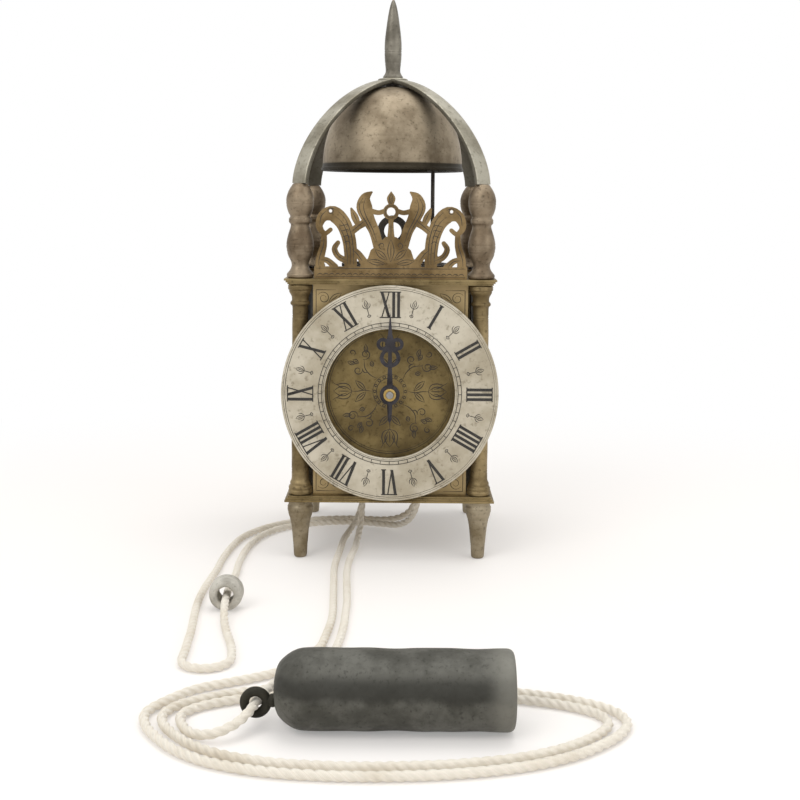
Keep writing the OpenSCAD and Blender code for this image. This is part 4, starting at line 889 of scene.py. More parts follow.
@dataclass(frozen=True)
class Studio:
    """White floor and surroundings, soft lamps, and the camera in front of the dial.

    Attributes:
        eye: the camera's place.
        pitch: how far it looks down, degrees.
        pixels: its focal length in pixels of an 800-pixel-wide picture.
        shift: how far the frame is moved, as shares of its width.
        roll: how far the clock leans to the right in the picture, degrees.
        sensor: the sensor's width, mm.
        picture: width of the picture in which pixels counts, pixels.
        surround: the surroundings' strength as a light; seen or mirrored they have 1.
        floor_half: half the floor's side, metres.
        floor_drop: how far it lies under the clock's feet, metres.
        floor_tint: its screen colour.
        floor_middle: the point round which the floor keeps its shadows.
        floor_fade: distances at which it starts to run out to white and is white, metres.
        floor_glow: share of plain white at its middle.
        aim: the point that every lamp faces.
        lamps: each lamp's name, place, side in metres and power in watts.
    """

    eye: Sequence[float] = (0.0092, -0.921, 0.2546)
    pitch: float = 5.7
    pixels: float = 1224.0
    shift: tuple[float, float] = (-0.0044, -0.0968)
    roll: float = 0.43
    sensor: float = 36.0
    picture: float = 800.0
    surround: float = 0.62
    floor_half: float = 6.0
    floor_drop: float = 0.0001
    floor_tint: Colour = (246, 241, 236)
    floor_middle: tuple[float, float] = (0.0, -0.15)
    floor_fade: tuple[float, float] = (0.28, 0.75)
    floor_glow: float = 0.26
    aim: tuple[float, float, float] = (0.0, -0.1, 0.15)
    lamps: Sequence[tuple[str, Sequence[float], float, float]] = (
        ("key_lamp", (-0.9, -1.3, 1.4), 1.1, 12.0),
        ("fill_lamp", (1.3, -1.0, 0.9), 1.3, 6.0),
        ("top_lamp", (0.1, 0.1, 1.7), 1.3, 12.0))

    def camera(self) -> None:
        """Makes the camera."""
        data = bpy.data.cameras.new("camera")
        data.sensor_width = self.sensor
        data.lens = self.pixels * self.sensor / self.picture
        data.shift_x, data.shift_y = self.shift
        data.clip_start, data.clip_end = 0.01, 50.0
        made = bpy.data.objects.new("camera", data)
        made.location = self.eye
        look = Euler((math.radians(90.0 - self.pitch), 0.0, 0.0)).to_quaternion()
        turn = Quaternion((0.0, 0.0, 1.0), math.radians(self.roll))
        made.rotation_euler = (look @ turn).to_euler()
        bpy.context.scene.collection.objects.link(made)
        bpy.context.scene.camera = made

    def surroundings(self) -> None:
        """A world that looks white and lights at a plain level."""
        world = bpy.data.worlds.new("surroundings")
        bpy.context.scene.world = world
        world.use_nodes = True
        tree = world.node_tree
        tree.nodes.clear()
        rays = tree.nodes.new("ShaderNodeLightPath")
        seen = Value(tree, rays.outputs["Is Camera Ray"]).greater(
            Value(tree, rays.outputs["Is Glossy Ray"]))
        strength = self.surround + seen * (1.0 - self.surround)
        sky = tree.nodes.new("ShaderNodeBackground")
        sky.inputs["Color"].default_value = (1.0, 1.0, 1.0, 1.0)
        tree.links.new(strength.socket, sky.inputs["Strength"])
        out = tree.nodes.new("ShaderNodeOutputWorld")
        tree.links.new(sky.outputs[0], out.inputs["Surface"])

    def floor(self) -> None:
        """A pale floor that keeps the shadows and runs out to white."""
        xs = np.linspace(-self.floor_half, self.floor_half, 3)
        flat = np.stack([*np.meshgrid(xs, xs, indexing="ij"), np.zeros((3, 3))], axis=-1)
        made = grid_object("floor", flat)
        made.location = (0.0, 0.0, -self.floor_drop)
        shader = Shader("floor")
        shader.feed(Base_Color=linear(self.floor_tint), Roughness=0.9)
        glow = shader.node("ShaderNodeEmission", {}, {"Color": (1.0, 1.0, 1.0),
                                                      "Strength": 1.0})
        x, y, _ = shader.coordinates()
        across, deep = x - self.floor_middle[0], y - self.floor_middle[1]
        away = (across * across + deep * deep) ** 0.5
        share = away.rise(*self.floor_fade) * (1.0 - self.floor_glow) + self.floor_glow
        mixed = shader.node("ShaderNodeMixShader", {}, {
            0: share, 1: shader.surface.outputs["BSDF"], 2: glow.outputs[0]})
        out = next(n for n in shader.tree.nodes if n.type == "OUTPUT_MATERIAL")
        shader.tree.links.new(mixed.outputs[0], out.inputs["Surface"])
        made.data.materials.append(shader.material)

    def lamp(self, name: str, place: Sequence[float], width: float, power: float) -> None:
        """A square soft lamp that faces the aim.

        Args:
            name: the lamp's name.
            place: where it hangs.
            width: its side, metres.
            power: its power, watts.
        """
        data = bpy.data.lights.new(name, "AREA")
        data.shape = "SQUARE"
        data.size = width
        data.energy = power
        made = bpy.data.objects.new(name, data)
        made.location = place
        way = Vector(self.aim) - Vector(place)
        made.rotation_euler = way.to_track_quat("-Z", "Y").to_euler()
        bpy.context.scene.collection.objects.link(made)

    def build(self) -> None:
        """Makes the camera, the surroundings, the floor and the lamps."""
        bpy.context.scene.view_settings.view_transform = "Standard"
        self.camera()
        self.surroundings()
        self.floor()
        for name, place, width, power in self.lamps:
            self.lamp(name, place, width, power)


# ------------------------------------------------------------------ CAD copies and cut lines


def eased(node: str, finish: "Metal | Wax", width: float = 0.3, segments: int = 2,
          crease: float = 32.0) -> bpy.types.Object:
    """Copies a CAD node and eases its sharp edges, so that they catch the light.

    Args:
        node: the CAD node.
        finish: the copy's finish.
        width: width of the eased edges, mm.
        segments: steps across an eased edge.
        crease: edges sharper than this many degrees are eased.

    Returns:
        The dressed copy, which stands for the node.
    """
    source = frame["nodes"][node]
    mesh = source.data.copy()
    custom = mesh.attributes.get("custom_normal")
    if custom is not None:
        mesh.attributes.remove(custom)
    work = bmesh.new()
    work.from_mesh(mesh)
    bmesh.ops.remove_doubles(work, verts=work.verts, dist=2e-6)
    bmesh.ops.dissolve_limit(work, angle_limit=math.radians(0.4), verts=work.verts,
                             edges=work.edges)
    work.to_mesh(mesh)
    work.free()
    mesh.shade_smooth()
    mesh.set_sharp_from_angle(angle=math.radians(crease))
    made = bpy.data.objects.new(f"{node}_piece", mesh)
    bpy.context.scene.collection.objects.link(made)
    ease = made.modifiers.new("ease", "BEVEL")
    ease.width = width * MM
    ease.segments = segments
    ease.limit_method = "ANGLE"
    ease.angle_limit = math.radians(crease)
    ease.harden_normals = True
    return dress(made, finish, source["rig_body"], [node])


Placer = Callable[[Array, Array], Array]


def facing_front(y: float) -> Placer:
    """Puts flat work on a face that looks to -Y.

    Args:
        y: the face's place, mm.

    Returns:
        A function from flat points and heights above the face to points in metres.
    """
    def place(flat: Array, lift: Array) -> Array:
        """Across becomes x, up becomes z."""
        return np.stack([flat[..., 0], y - lift, flat[..., 1]], axis=-1) * MM
    return place


def facing_side(x: float) -> Placer:
    """Puts flat work on a face that looks away from the middle along X."""
    def place(flat: Array, lift: Array) -> Array:
        """Across becomes y, up becomes z."""
        return np.stack([x + math.copysign(1.0, x) * lift, flat[..., 0], flat[..., 1]],
                        axis=-1) * MM
    return place


def cut_lines(name: str, lines: Sequence[Array], widths: Sequence[float], place: Placer,
              points: int = 20) -> bpy.types.Object:
    """Engraved lines as very low tapering strips, dark with old wax.

    Each line is w * max(0.25, sin(pi t))^0.6 wide from its start t = 0 to its end t = 1.

    Args:
        name: the piece's name.
        lines: flat lines, mm.
        widths: greatest width of each line, mm.
        place: puts them on their face.
        points: how many points each line gets.

    Returns:
        One piece with all the lines.
    """
    flat = np.stack([resampled(np.asarray(line, float), points) for line in lines])
    way = np.gradient(flat, axis=1)
    way /= np.linalg.norm(way, axis=-1, keepdims=True) + 1e-12
    side = np.stack([-way[..., 1], way[..., 0]], axis=-1)
    t = np.linspace(0.0, 1.0, points)[None, :]
    half = 0.5 * np.asarray(widths, float)[:, None] * np.maximum(0.25, np.sin(np.pi * t)) ** 0.6
    across = np.array([-1.0, -0.45, 0.45, 1.0])
    spread = side[:, :, None] * (half[..., None] * across)[..., None]
    lift = np.array([0.005, 0.035, 0.035, 0.005]) + np.zeros((*half.shape, 4))
    placed = place(flat[:, :, None] + spread, lift).reshape(-1, 4, 3)
    rows = np.arange(len(placed) - 1)
    keep = np.repeat(((rows + 1) % points != 0)[:, None], 3, axis=1)
    return grid_object(name, placed, keep=keep)


def arc(centre: Sequence[float], radius: float, start: float, end: float,
        count: int = 24) -> Array:
    """Part of a circle in the flat, from one angle in degrees to another."""
    turn = np.radians(np.linspace(start, end, count))
    return np.asarray(centre, float) + radius * np.stack([np.cos(turn), np.sin(turn)], axis=1)


def scroll(centre: Sequence[float], radius: float, start: float, turns: float,
           shrink: float = 0.35) -> Array:
    """A spiral that tightens: its radius is r * shrink^(share of the way).

    Args:
        centre: the spiral's middle, mm.
        radius: its first radius, mm.
        start: its first angle, degrees.
        turns: how many turns it makes, negative for clockwise.
        shrink: its last radius over its first.

    Returns:
        The spiral's points.
    """
    t = np.linspace(0.0, 1.0, 40)
    turn = np.radians(start) + 2.0 * math.pi * turns * t
    reach = radius * shrink ** t
    return np.asarray(centre, float) + np.stack([reach * np.cos(turn), reach * np.sin(turn)], 1)


def leaf(root: Sequence[float], tip: Sequence[float], belly: float) -> list[Array]:
    """A pointed leaf as two bowed sides and a vein.

    Each side leaves the line from root to tip by b sin(pi t).

    Args:
        root: where it starts, mm.
        tip: where it ends, mm.
        belly: how far each side bows out, mm.

    Returns:
        Three lines.
    """
    a, b = np.asarray(root, float), np.asarray(tip, float)
    t = np.linspace(0.0, 1.0, 16)[:, None]
    way = (b - a) / np.linalg.norm(b - a)
    side = np.array([-way[1], way[0]])
    bow = np.sin(np.pi * t) * side * belly
    spine = a + (b - a) * t
    return [spine + bow, spine - bow, spine[2:12]]


def turned_about(lines: Sequence[Array], angle: float) -> list[Array]:
    """The lines turned about the middle by an angle in degrees."""
    c, s = math.cos(math.radians(angle)), math.sin(math.radians(angle))
    spin = np.array([[c, s], [-s, c]])
    return [np.asarray(line, float) @ spin for line in lines]


def mirrored(lines: Sequence[Array]) -> list[Array]:
    """The lines and their mirror images across the middle."""
    return [*lines, *(np.asarray(line, float) * (-1.0, 1.0) for line in lines)]


# ------------------------------------------------------------------ turned work


@dataclass
class TurnedWork:
    """Feet, pillars, finials and spire: lathe-turned castings with scribed rings.

    Profiles are radius and height in mm: the outline points of the CAD source's turned parts
    at their sizes, rounded to a tenth, the pillar's ends from the stud's radius outwards.
    Levels are the heights at which each kind of part stands.
    """

    at: float = 63.5
    pillar_level: float = 46.0
    finial_level: float = 200.0
    spire_level: float = 344.0
    corners: Sequence[tuple[str, int, int]] = (
        ("fl", -1, -1), ("fr", 1, -1), ("rl", -1, 1), ("rr", 1, 1))
    foot: Sequence[Sequence[float]] = (
        (0, 0), (4, 0), (4.7, 1.5), (4.9, 6), (5.3, 10.9), (6.1, 21), (7.3, 27.7),
        (8.6, 31.9), (9.2, 34.9), (9.2, 37.4), (8.4, 38.6), (8.4, 40.6), (9, 40.6), (9, 42),
        (3, 42), (3, 54), (0, 54))
    pillar: Sequence[Sequence[float]] = (
        (3, 0), (8.6, 0), (8.6, 3), (8, 3.4), (8.5, 4.8), (8, 6.2), (7, 6.8), (7.5, 8.2),
        (7, 9.4), (6.3, 10.6), (6.1, 14), (6.2, 45), (6, 82.5), (5.5, 131), (5.5, 134.6),
        (6.9, 135.4), (6.9, 137.2), (5.7, 138), (5.8, 141.2), (7.4, 143.6), (7.9, 145),
        (7.5, 145.8), (8.6, 145.8), (8.6, 150), (3, 150))
    finial: Sequence[Sequence[float]] = (
        (3, 0), (9.5, 0), (9.5, 3), (8.4, 4), (6.6, 6.4), (5.8, 9), (6.4, 11.9), (8.6, 15.8),
        (9.7, 21.1), (9.6, 25.1), (8.4, 30.4), (6.6, 35.6), (6.4, 37.6), (8, 38.9), (8, 41.6),
        (6.6, 42.9), (8.2, 45.5), (9.4, 49.5), (9.8, 53.5), (9.3, 57.4), (7.8, 61.4),
        (5.6, 64.7), (4.8, 66), (0, 66))
    spire: Sequence[Sequence[float]] = (
        (2.5, 0), (7.5, 0), (7.5, 1.6), (6.6, 2.6), (5.3, 5), (5.4, 8), (6.1, 13), (6.4, 20.1),
        (6.1, 28.3), (5.1, 37.8), (3.7, 46.6), (2.2, 54.3), (0.5, 58.1), (0, 59))

    def knocks(self, seed: float) -> Callable[[Array, Array], Array]:
        """Small casting unevenness: sine waves in angle and height, different for each piece."""
        def dent(angle: Array, height: Array) -> Array:
            """Change of radius in metres."""
            wave = np.sin(2.0 * angle + seed) * np.sin(0.31 * height / MM + seed * 1.7)
            return 0.05 * MM * wave
        return dent

    def build(self) -> None:
        """Makes every turned piece of the case, the spire last."""
        for k, (corner, sx, sy) in enumerate(self.corners):
            x, y = sx * self.at * MM, sy * self.at * MM
            foot = revolved(f"foot_{corner}_piece", turned_profile(
                self.foot, (8.6, 10.2, 28.5, 33.2, 36.2)), (x, y, 0.0), sides=64,
                dent=self.knocks(k + 0.3))
            dress(foot, FOOT_BRASS, "case", [f"foot_{corner}"])
            pillar = revolved(f"pillar_{corner}_piece", turned_profile(
                self.pillar, (1.4, 16.5, 18.2, 44.6, 46.4, 82, 126.5, 128.2, 147.6)),
                (x, y, self.pillar_level * MM), sides=56, dent=self.knocks(k + 1.1))
            dress(pillar, PILLAR_BRASS, "case", [f"pillar_{corner}"])
            finial = revolved(f"finial_{corner}_piece", turned_profile(
                self.finial, (1.5, 18.2, 20.2, 23.4, 40.2, 51.5, 53.2)),
                (x, y, self.finial_level * MM), sides=64, dent=self.knocks(k + 2.4))
            dress(finial, TURNED_BRASS, "case", [f"finial_{corner}"])
        foot_of_spire = (0.0, 0.0, self.spire_level * MM)
        spire = revolved("spire_piece", turned_profile(
            self.spire, (0.9, 11.5, 19.2, 20.8), 0.16, 0.4), foot_of_spire, sides=48,
            dent=self.knocks(5.2))
        stem = revolved("spire_stem", turned_profile(
            [(0, -16), (2.2, -16), (2.5, -15.4), (2.5, 0.4), (0, 0.4)], step=0.4),
            foot_of_spire, sides=32)
        dress(join("spire_piece", [spire, stem]), SPIRE_BRASS, "case",
              ["spire"])


@dataclass
class BellCage:
    """The bell, its four-armed cage, its nut and washer.

    Lengths in millimetres. The arms stand on the finials and rise to the hub under the spire.
    """

    lip: float = 53.0
    height: float = 62.0
    wall: float = 3.0
    foot_z: float = 276.0
    arm_foot: tuple[float, float] = (89.8, 266.0)
    arm_top: float = 342.4
    arm_power: float = 1.64
    arm_size: tuple[float, float] = (14.0, 3.2)
    hub: float = 11.2

    def dome(self, radius: float, height: float, count: int = 90) -> Array:
        """The bell's curve: radius r cos(a)^0.82, height h sin(a)^0.92, mm."""
        a = np.linspace(0.0, math.pi / 2.0, count)
        return np.stack([radius * np.abs(np.cos(a)) ** 0.82, height * np.sin(a) ** 0.92], axis=1)

    def profile(self) -> Array:
        """Outside from the crown's hole down to the lip and up the inside, metres."""
        outer = self.dome(self.lip - 1.0, self.height)
        outer = outer[(outer[:, 1] > 3.5) & (outer[:, 0] > 2.7)][::-1]
        inner = self.dome(self.lip - 1.0 - self.wall, self.height - self.wall)
        inner = inner[inner[:, 0] > 2.7]
        lip = np.array([(self.lip - 0.9, 3.0), (self.lip - 0.1, 2.2), (self.lip, 1.2),
                        (self.lip - 0.1, 0.4), (self.lip - 0.5, 0.0), (self.lip - 1.8, 0.0),
                        (self.lip - self.wall + 0.6, 0.2)])
        line = even(np.vstack([[(2.6, self.height - self.wall)], [(2.6, self.height - 0.1)],
                               outer, lip, inner[1:], [(2.6, self.height - self.wall)]]), 0.55)
        outside = np.arange(len(line)) < 0.52 * len(line)
        for height, depth in ((6.0, 0.14), (7.6, 0.14), (24.0, 0.1), (47.0, 0.12), (48.4, 0.12)):
            line[:, 0] -= depth * np.exp(-(((line[:, 1] - height) / 0.4) ** 2)) * outside
        return line * MM

    def arm_line(self) -> Array:
        """Middle line of an arm as radius and height, from its foot into the hub.

        The line is |r / a|^p + |h / b|^p = 1, a little more pointed than an ellipse.
        """
        reach, low = self.arm_foot
        turn = np.linspace(0.0, math.pi / 2.0, 400)
        share = 2.0 / self.arm_power
        line = np.stack([reach * np.cos(turn) ** share,
                         low + (self.arm_top - low) * np.sin(turn) ** share], axis=1)
        return even(line[line[:, 0] > 4.0], 1.0)

    def arm_section(self) -> Array:
        """Outline of an arm: across and outwards, with eased edges and a slight crown."""
        half, thick = self.arm_size[0] / 2.0, self.arm_size[1] / 2.0
        ease = 0.75
        turn = np.linspace(0.0, math.pi / 2.0, 5)
        corner = np.stack([half - ease + ease * np.cos(turn), thick - ease + ease * np.sin(turn)],
                          axis=1)
        flat = np.array([(half - 1.4, thick + 0.02), (half * 0.5, thick + 0.12),
                         (0.0, thick + 0.16)])
        side = np.vstack([[(half, 0.0)], corner, flat])
        left = side[::-1][1:] * (-1.0, 1.0)
        low = np.vstack([side, left])[::-1][1:-1] * (1.0, -1.0)
        return np.vstack([side, left, low])

    def arm(self, turned: float) -> bpy.types.Object:
        """One arm, swept along its line and turned to its corner in degrees."""
        line, section = self.arm_line(), self.arm_section()
        way = np.gradient(line, axis=0)
        way /= np.linalg.norm(way, axis=1, keepdims=True)
        out = np.stack([way[:, 1], -way[:, 0]], axis=1)
        flat = line[:, None] + out[:, None] * section[None, :, 1:]
        across = np.broadcast_to(section[None, :, 0], flat.shape[:2])
        c, s = math.cos(math.radians(turned)), math.sin(math.radians(turned))
        points = np.stack([flat[..., 0] * c - across * s, flat[..., 0] * s + across * c,
                           flat[..., 1]], axis=-1)
        ends = np.repeat(points[[0, -1]].mean(axis=1)[:, None], points.shape[1], axis=1)
        points = np.concatenate([ends[:1], points, ends[1:]]) * MM
        return weld(grid_object("bell_strap_arm", points, wrap_v=True))

    def strap(self) -> bpy.types.Object:
        """The four arms, the hub with its hole, and the pins that stand in the finials."""
        hub = np.array([(2.8, 340.8), (10.5, 340.8), (11.0, 341.2), (self.hub, 341.8),
                        (self.hub, 343.0), (11.0, 343.6), (10.5, 344.0), (2.8, 344.0),
                        (2.8, 340.8)])
        parts = [revolved("bell_strap_hub", even(hub, 0.5) * MM, (0.0, 0.0, 0.0), sides=64)]
        reach, low = self.arm_foot
        for k in range(4):
            turned = 45.0 + 90.0 * k
            parts.append(self.arm(turned))
            x = reach * math.cos(math.radians(turned)) * MM
            y = reach * math.sin(math.radians(turned)) * MM
            pin = even(np.array([(0, low - 5), (1.1, low - 5), (1.5, low - 4.4),
                                 (1.5, low + 0.4), (0, low + 0.4)]), 0.4) * MM
            parts.append(revolved("bell_strap_pin", pin, (x, y, 0.0), sides=20))
        made = join("bell_strap_piece", parts)
        made.data.set_sharp_from_angle(angle=math.radians(50.0))
        return made

    def build(self) -> None:
        """Makes the bell, the cage, and the nut and washer, which are one CAD node."""
        bell = revolved("bell_piece", self.profile(), (0.0, 0.0, self.foot_z * MM), sides=144)
        dress(bell, BELL_BRONZE, "case", ["bell"])
        dress(self.strap(), STRAP_BRASS, "case", ["bell_strap"])
        eased("bell_nut", IRON, 0.35)


# ------------------------------------------------------------------ dial


@dataclass
class Dial:
    """The dial plate with its engraved centre, the chapter ring and the one hand.

    Lengths in millimetres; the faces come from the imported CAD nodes.
    """

    height: float = 120.0
    ring_in: float = 45.5
    ring_out: float = 76.0
    corner: tuple[float, float] = (54.5, 74.0)

    def tulip(self) -> list[Array]:
        """An upright tulip on its stem with two leaves, rooted near the middle."""
        lines = [smooth_path([(0, 13), (0.8, 18), (0, 23), (0, 27)], 0.5)]
        lines += leaf((0, 27), (0, 40), 3.4)
        for s in (-1, 1):
            lines.append(smooth_path([(0, 27), (s * 4.4, 29), (s * 5.6, 33), (s * 4.8, 38),
                                      (s * 6.4, 40.5)], 0.5))
            lines.append(smooth_path([(s * 4.8, 38), (s * 2.6, 34.5), (s * 1.6, 31)], 0.5))
            lines += leaf((s * 0.4, 17), (s * 7.6, 24.5), 1.7)
        return lines

    def tendrils(self) -> list[Array]:
        """Scrolls and buds that fill the space between two tulips."""
        lines = [smooth_path([(0, 13), (-1.6, 18), (-1, 24), (3, 29)], 0.5),
                 scroll((6.2, 31.0), 3.9, 200, 1.35), scroll((-5.6, 26.6), 3.4, -20, -1.25),
                 smooth_path([(-1.2, 20.5), (-3.4, 22.4), (-2.4, 25.6)], 0.5),
                 scroll((0.6, 38.4), 2.4, 250, 1.1)]
        for tip in ((-6.4, 36.2), (-2.6, 34.6), (11.4, 36.0), (5.8, 24.6)):
            lines += leaf((tip[0] * 0.62, tip[1] * 0.86), tip, 1.25)
        return lines

    def centre_lines(self) -> tuple[list[Array], list[float]]:
        """Engraving inside the ring: a rose round the hand, four tulips and scrolls between."""
        lines = [arc((0, 0), r, 0, 360, 90) for r in (9.6, 12.2, 43.2, 44.6)]
        widths = [0.5, 0.35, 0.35, 0.55]
        for k in range(16):
            lines += turned_about(leaf((0, 9.8), (0, 12.0), 0.9)[:2], k * 22.5)
        for k in range(4):
            lines += turned_about(self.tulip(), k * 90)
            lines += turned_about(self.tendrils(), k * 90 + 45)
        widths += [0.7] * (len(lines) - len(widths))
        return lines, widths

    def corner_lines(self) -> list[Array]:
        """Engraving in the plate's corners outside the ring."""
        half, up = self.corner
        lines = [np.array([(half - 16, up - 2.2), (half - 2.2, up - 2.2), (half - 2.2, up - 30)]),
                 scroll((half - 7.5, up - 8.0), 4.6, 30, 1.4),
                 scroll((half - 6.2, up - 19.5), 3.4, 100, -1.3)]
        lines += leaf((half - 11, up - 11), (half - 20, up - 4.4), 2.0)
        lines += leaf((half - 9, up - 14), (half - 4.2, up - 27), 1.9)
        return lines

    def ring_lines(self) -> tuple[list[Array], list[float]]:
        """Circles and half-hour marks of the chapter ring."""
        low, high = self.ring_in, self.ring_out
        radii = (low + 1.2, low + 2.2, low + 4.6, high - 2.7, high - 1.4)
        lines = [arc((0, 0), r, 0, 360, 160) for r in radii]
        widths = [0.3, 0.3, 0.42, 0.42, 0.3]
        mid = (low + high) / 2.0 + 1.0
        mark = [np.array([(0, mid - 6.4), (0, mid + 1.6)]), *leaf((0, mid), (0, mid + 6.2), 1.2)]
        for s in (-1, 1):
            mark.append(smooth_path([(0, mid - 0.4), (s * 2.3, mid + 1.4), (s * 2.7, mid + 3.6)],
                                    0.4))
            mark.append(smooth_path([(0, mid - 6.4), (s * 1.2, mid - 5.2), (0, mid - 4.2)], 0.4))
        for hour in range(12):
            lines += turned_about(mark, hour * 30 + 15)
        widths += [0.55] * (len(lines) - len(widths))
        return lines, widths

    def build(self) -> None:
        """Makes the plate's, ring's and hand's pieces and their engraving."""
        shift = np.array([0.0, self.height])
        eased("dial_plate", DIAL_BRASS, 0.25)
        plate_y = float(size_of("dial_plate")[0][1]) / MM
        lines, widths = self.centre_lines()
        corner = mirrored(self.corner_lines())
        corner += [line * (1.0, -1.0) for line in corner]
        lines, widths = [*lines, *corner], widths + [0.5] * len(corner)
        cut = cut_lines("dial_engraving", [line + shift for line in lines], widths,
                        facing_front(plate_y), 40)
        dress(cut, CUT_WAX)
        eased("chapter_ring", SILVERED, 0.35, 3)
        eased("numerals", BLACK_WAX, 0.04, 1)
        ring_y = float(size_of("chapter_ring")[0][1]) / MM
        lines, widths = self.ring_lines()
        cut = cut_lines("ring_engraving", [line + shift for line in lines], widths,
                        facing_front(ring_y), 60)
        dress(cut, BLACK_WAX)
        eased("hour_hand", BLUED_STEEL, 0.35, 3)
        eased("hand_washer", WHEEL_BRASS, 0.3)


# ------------------------------------------------------------------ frets


@dataclass
class Frets:
    """Three pierced and engraved frets on the top plate, with their screws.

    Lengths in millimetres, up from the top plate and across from the fret's middle.
    """

    foot_z: float = 200.0

    def half_lines(self) -> list[Array]:
        """Engraving on one half: leaf, dolphin with its eye and fins, tendrils, border."""
        lines = [smooth_path(p, 0.5) for p in (
            [(9.5, 25), (12.5, 34), (17, 43), (19.2, 50), (17.6, 56)],
            [(11.6, 27), (15.4, 36), (20.6, 45), (22, 51), (19.6, 56)],
            [(28, 10), (28, 18), (29.5, 29), (33.5, 38.5), (38.5, 43.2)],
            [(26, 10), (26, 18.5), (27.4, 30), (31.4, 41), (36.5, 46.5)],
            [(30.2, 10), (30.4, 18), (32, 28), (36, 36.4)],
            [(50.2, 9), (49.8, 14), (47, 23), (46.6, 29)],
            [(17.5, 40.8), (22.5, 36.8), (27.5, 32.6)],
            [(20, 12.6), (23.5, 17.4), (27, 20.4)],
            [(30, 12.6), (36, 15.4), (39, 20.6), (37, 24.6)],
            [(40, 9), (44, 12.4), (48.6, 13)],
            [(44.6, 47.2), (48.2, 43.6), (49.4, 37.4)],
            [(38.6, 47.9), (41.8, 49.1), (44.6, 47.7)],
            [(23.5, 39.6), (25, 43), (26.6, 46.2)])]
        for low in (24.5, 28.5, 32.5, 36.0):
            lines.append(smooth_path([(27.6 + (low - 24) * 0.28, low), (30, low + 1.6),
                                      (32.6 + (low - 24) * 0.3, low + 0.4)], 0.4))
        lines.append(arc((42, 47), 1.9, 0, 360, 20))
        lines += leaf((4, 10.5), (16.5, 12.6), 1.8)
        lines += leaf((2.5, 13), (11, 20.5), 1.9)
        lines.append(scroll((6.2, 23.2), 2.6, 250, 1.2))
        return lines

    def lines(self) -> list[Array]:
        """All the engraving of one fret, in the fret's own flat."""
        middle = [arc((0, 46.6), 4.3, 0, 360, 30), *leaf((0, 12), (0, 27.5), 2.2),
                  *leaf((0, 52), (0, 58.8), 1.3), smooth_path([(0, 29), (0, 40)], 0.5)]
        border = [np.array([(-52, 1.4), (52, 1.4)]), np.array([(-52, 7.2), (52, 7.2)])]
        for k in range(-12, 13):
            border.append(arc((k * 4.1, 1.6), 2.0, 20, 160, 10))
        return [*mirrored(self.half_lines()), *middle, *border]

    def build(self) -> None:
        """Makes the three frets, their engraving and their screws."""
        shift = np.array([0.0, self.foot_z])
        lines = [np.asarray(line, float) + shift for line in self.lines()]
        front = float(size_of("fret_front")[0][1]) / MM
        left = float(size_of("fret_left")[0][0]) / MM
        right = float(size_of("fret_right")[1][0]) / MM
        places = {"front": facing_front(front), "left": facing_side(left),
                  "right": facing_side(right)}
        for side, place in places.items():
            eased(f"fret_{side}", FRET_BRASS, 0.3)
            cut = cut_lines(f"fret_{side}_engraving", lines, [0.55] * len(lines), place, 16)
            dress(cut, CUT_WAX)
        eased("fret_screws", BLUED_STEEL, 0.2)


# ------------------------------------------------------------------ case and movement


@dataclass
class Case:
    """Plates, doors, back and hanging hoop: eased copies of the CAD solids."""

    def build(self) -> None:
        """Dresses each plate of the case."""
        for node in ("base_plate", "top_plate"):
            eased(node, CASE_BRASS, 0.3, 3)
        for node in ("left_door", "right_door"):
            eased(node, DOOR_BRASS, 0.25)
        for node in ("back_plate", "hanging_hoop"):
            eased(node, IRON, 0.4)


@dataclass
class Movement:
    """Bars, trains, verge and striking levers, each with the finish of its metal."""

    wheels: Sequence[str] = ("going_wheel", "second_wheel", "crown_wheel", "hour_wheel",
                             "strike_wheel", "hoop_wheel", "warning_wheel", "count_wheel",
                             "fly")
    steel: Sequence[str] = ("going_arbor", "second_arbor", "strike_arbor", "hour_stud", "verge",
                            "hammer_spring")
    iron: Sequence[str] = ("front_bar", "middle_bar", "rear_bar", "balance_wheel",
                           "balance_cock", "hammer", "lifting_piece", "detent")

    def build(self) -> None:
        """Dresses each part of the movement."""
        for nodes, finish in ((self.wheels, WHEEL_BRASS), (self.steel, STEEL),
                              (self.iron, IRON)):
            for node in nodes:
                eased(node, finish, 0.12 if finish is not IRON else 0.3, 1)


# ------------------------------------------------------------------ rope and weight


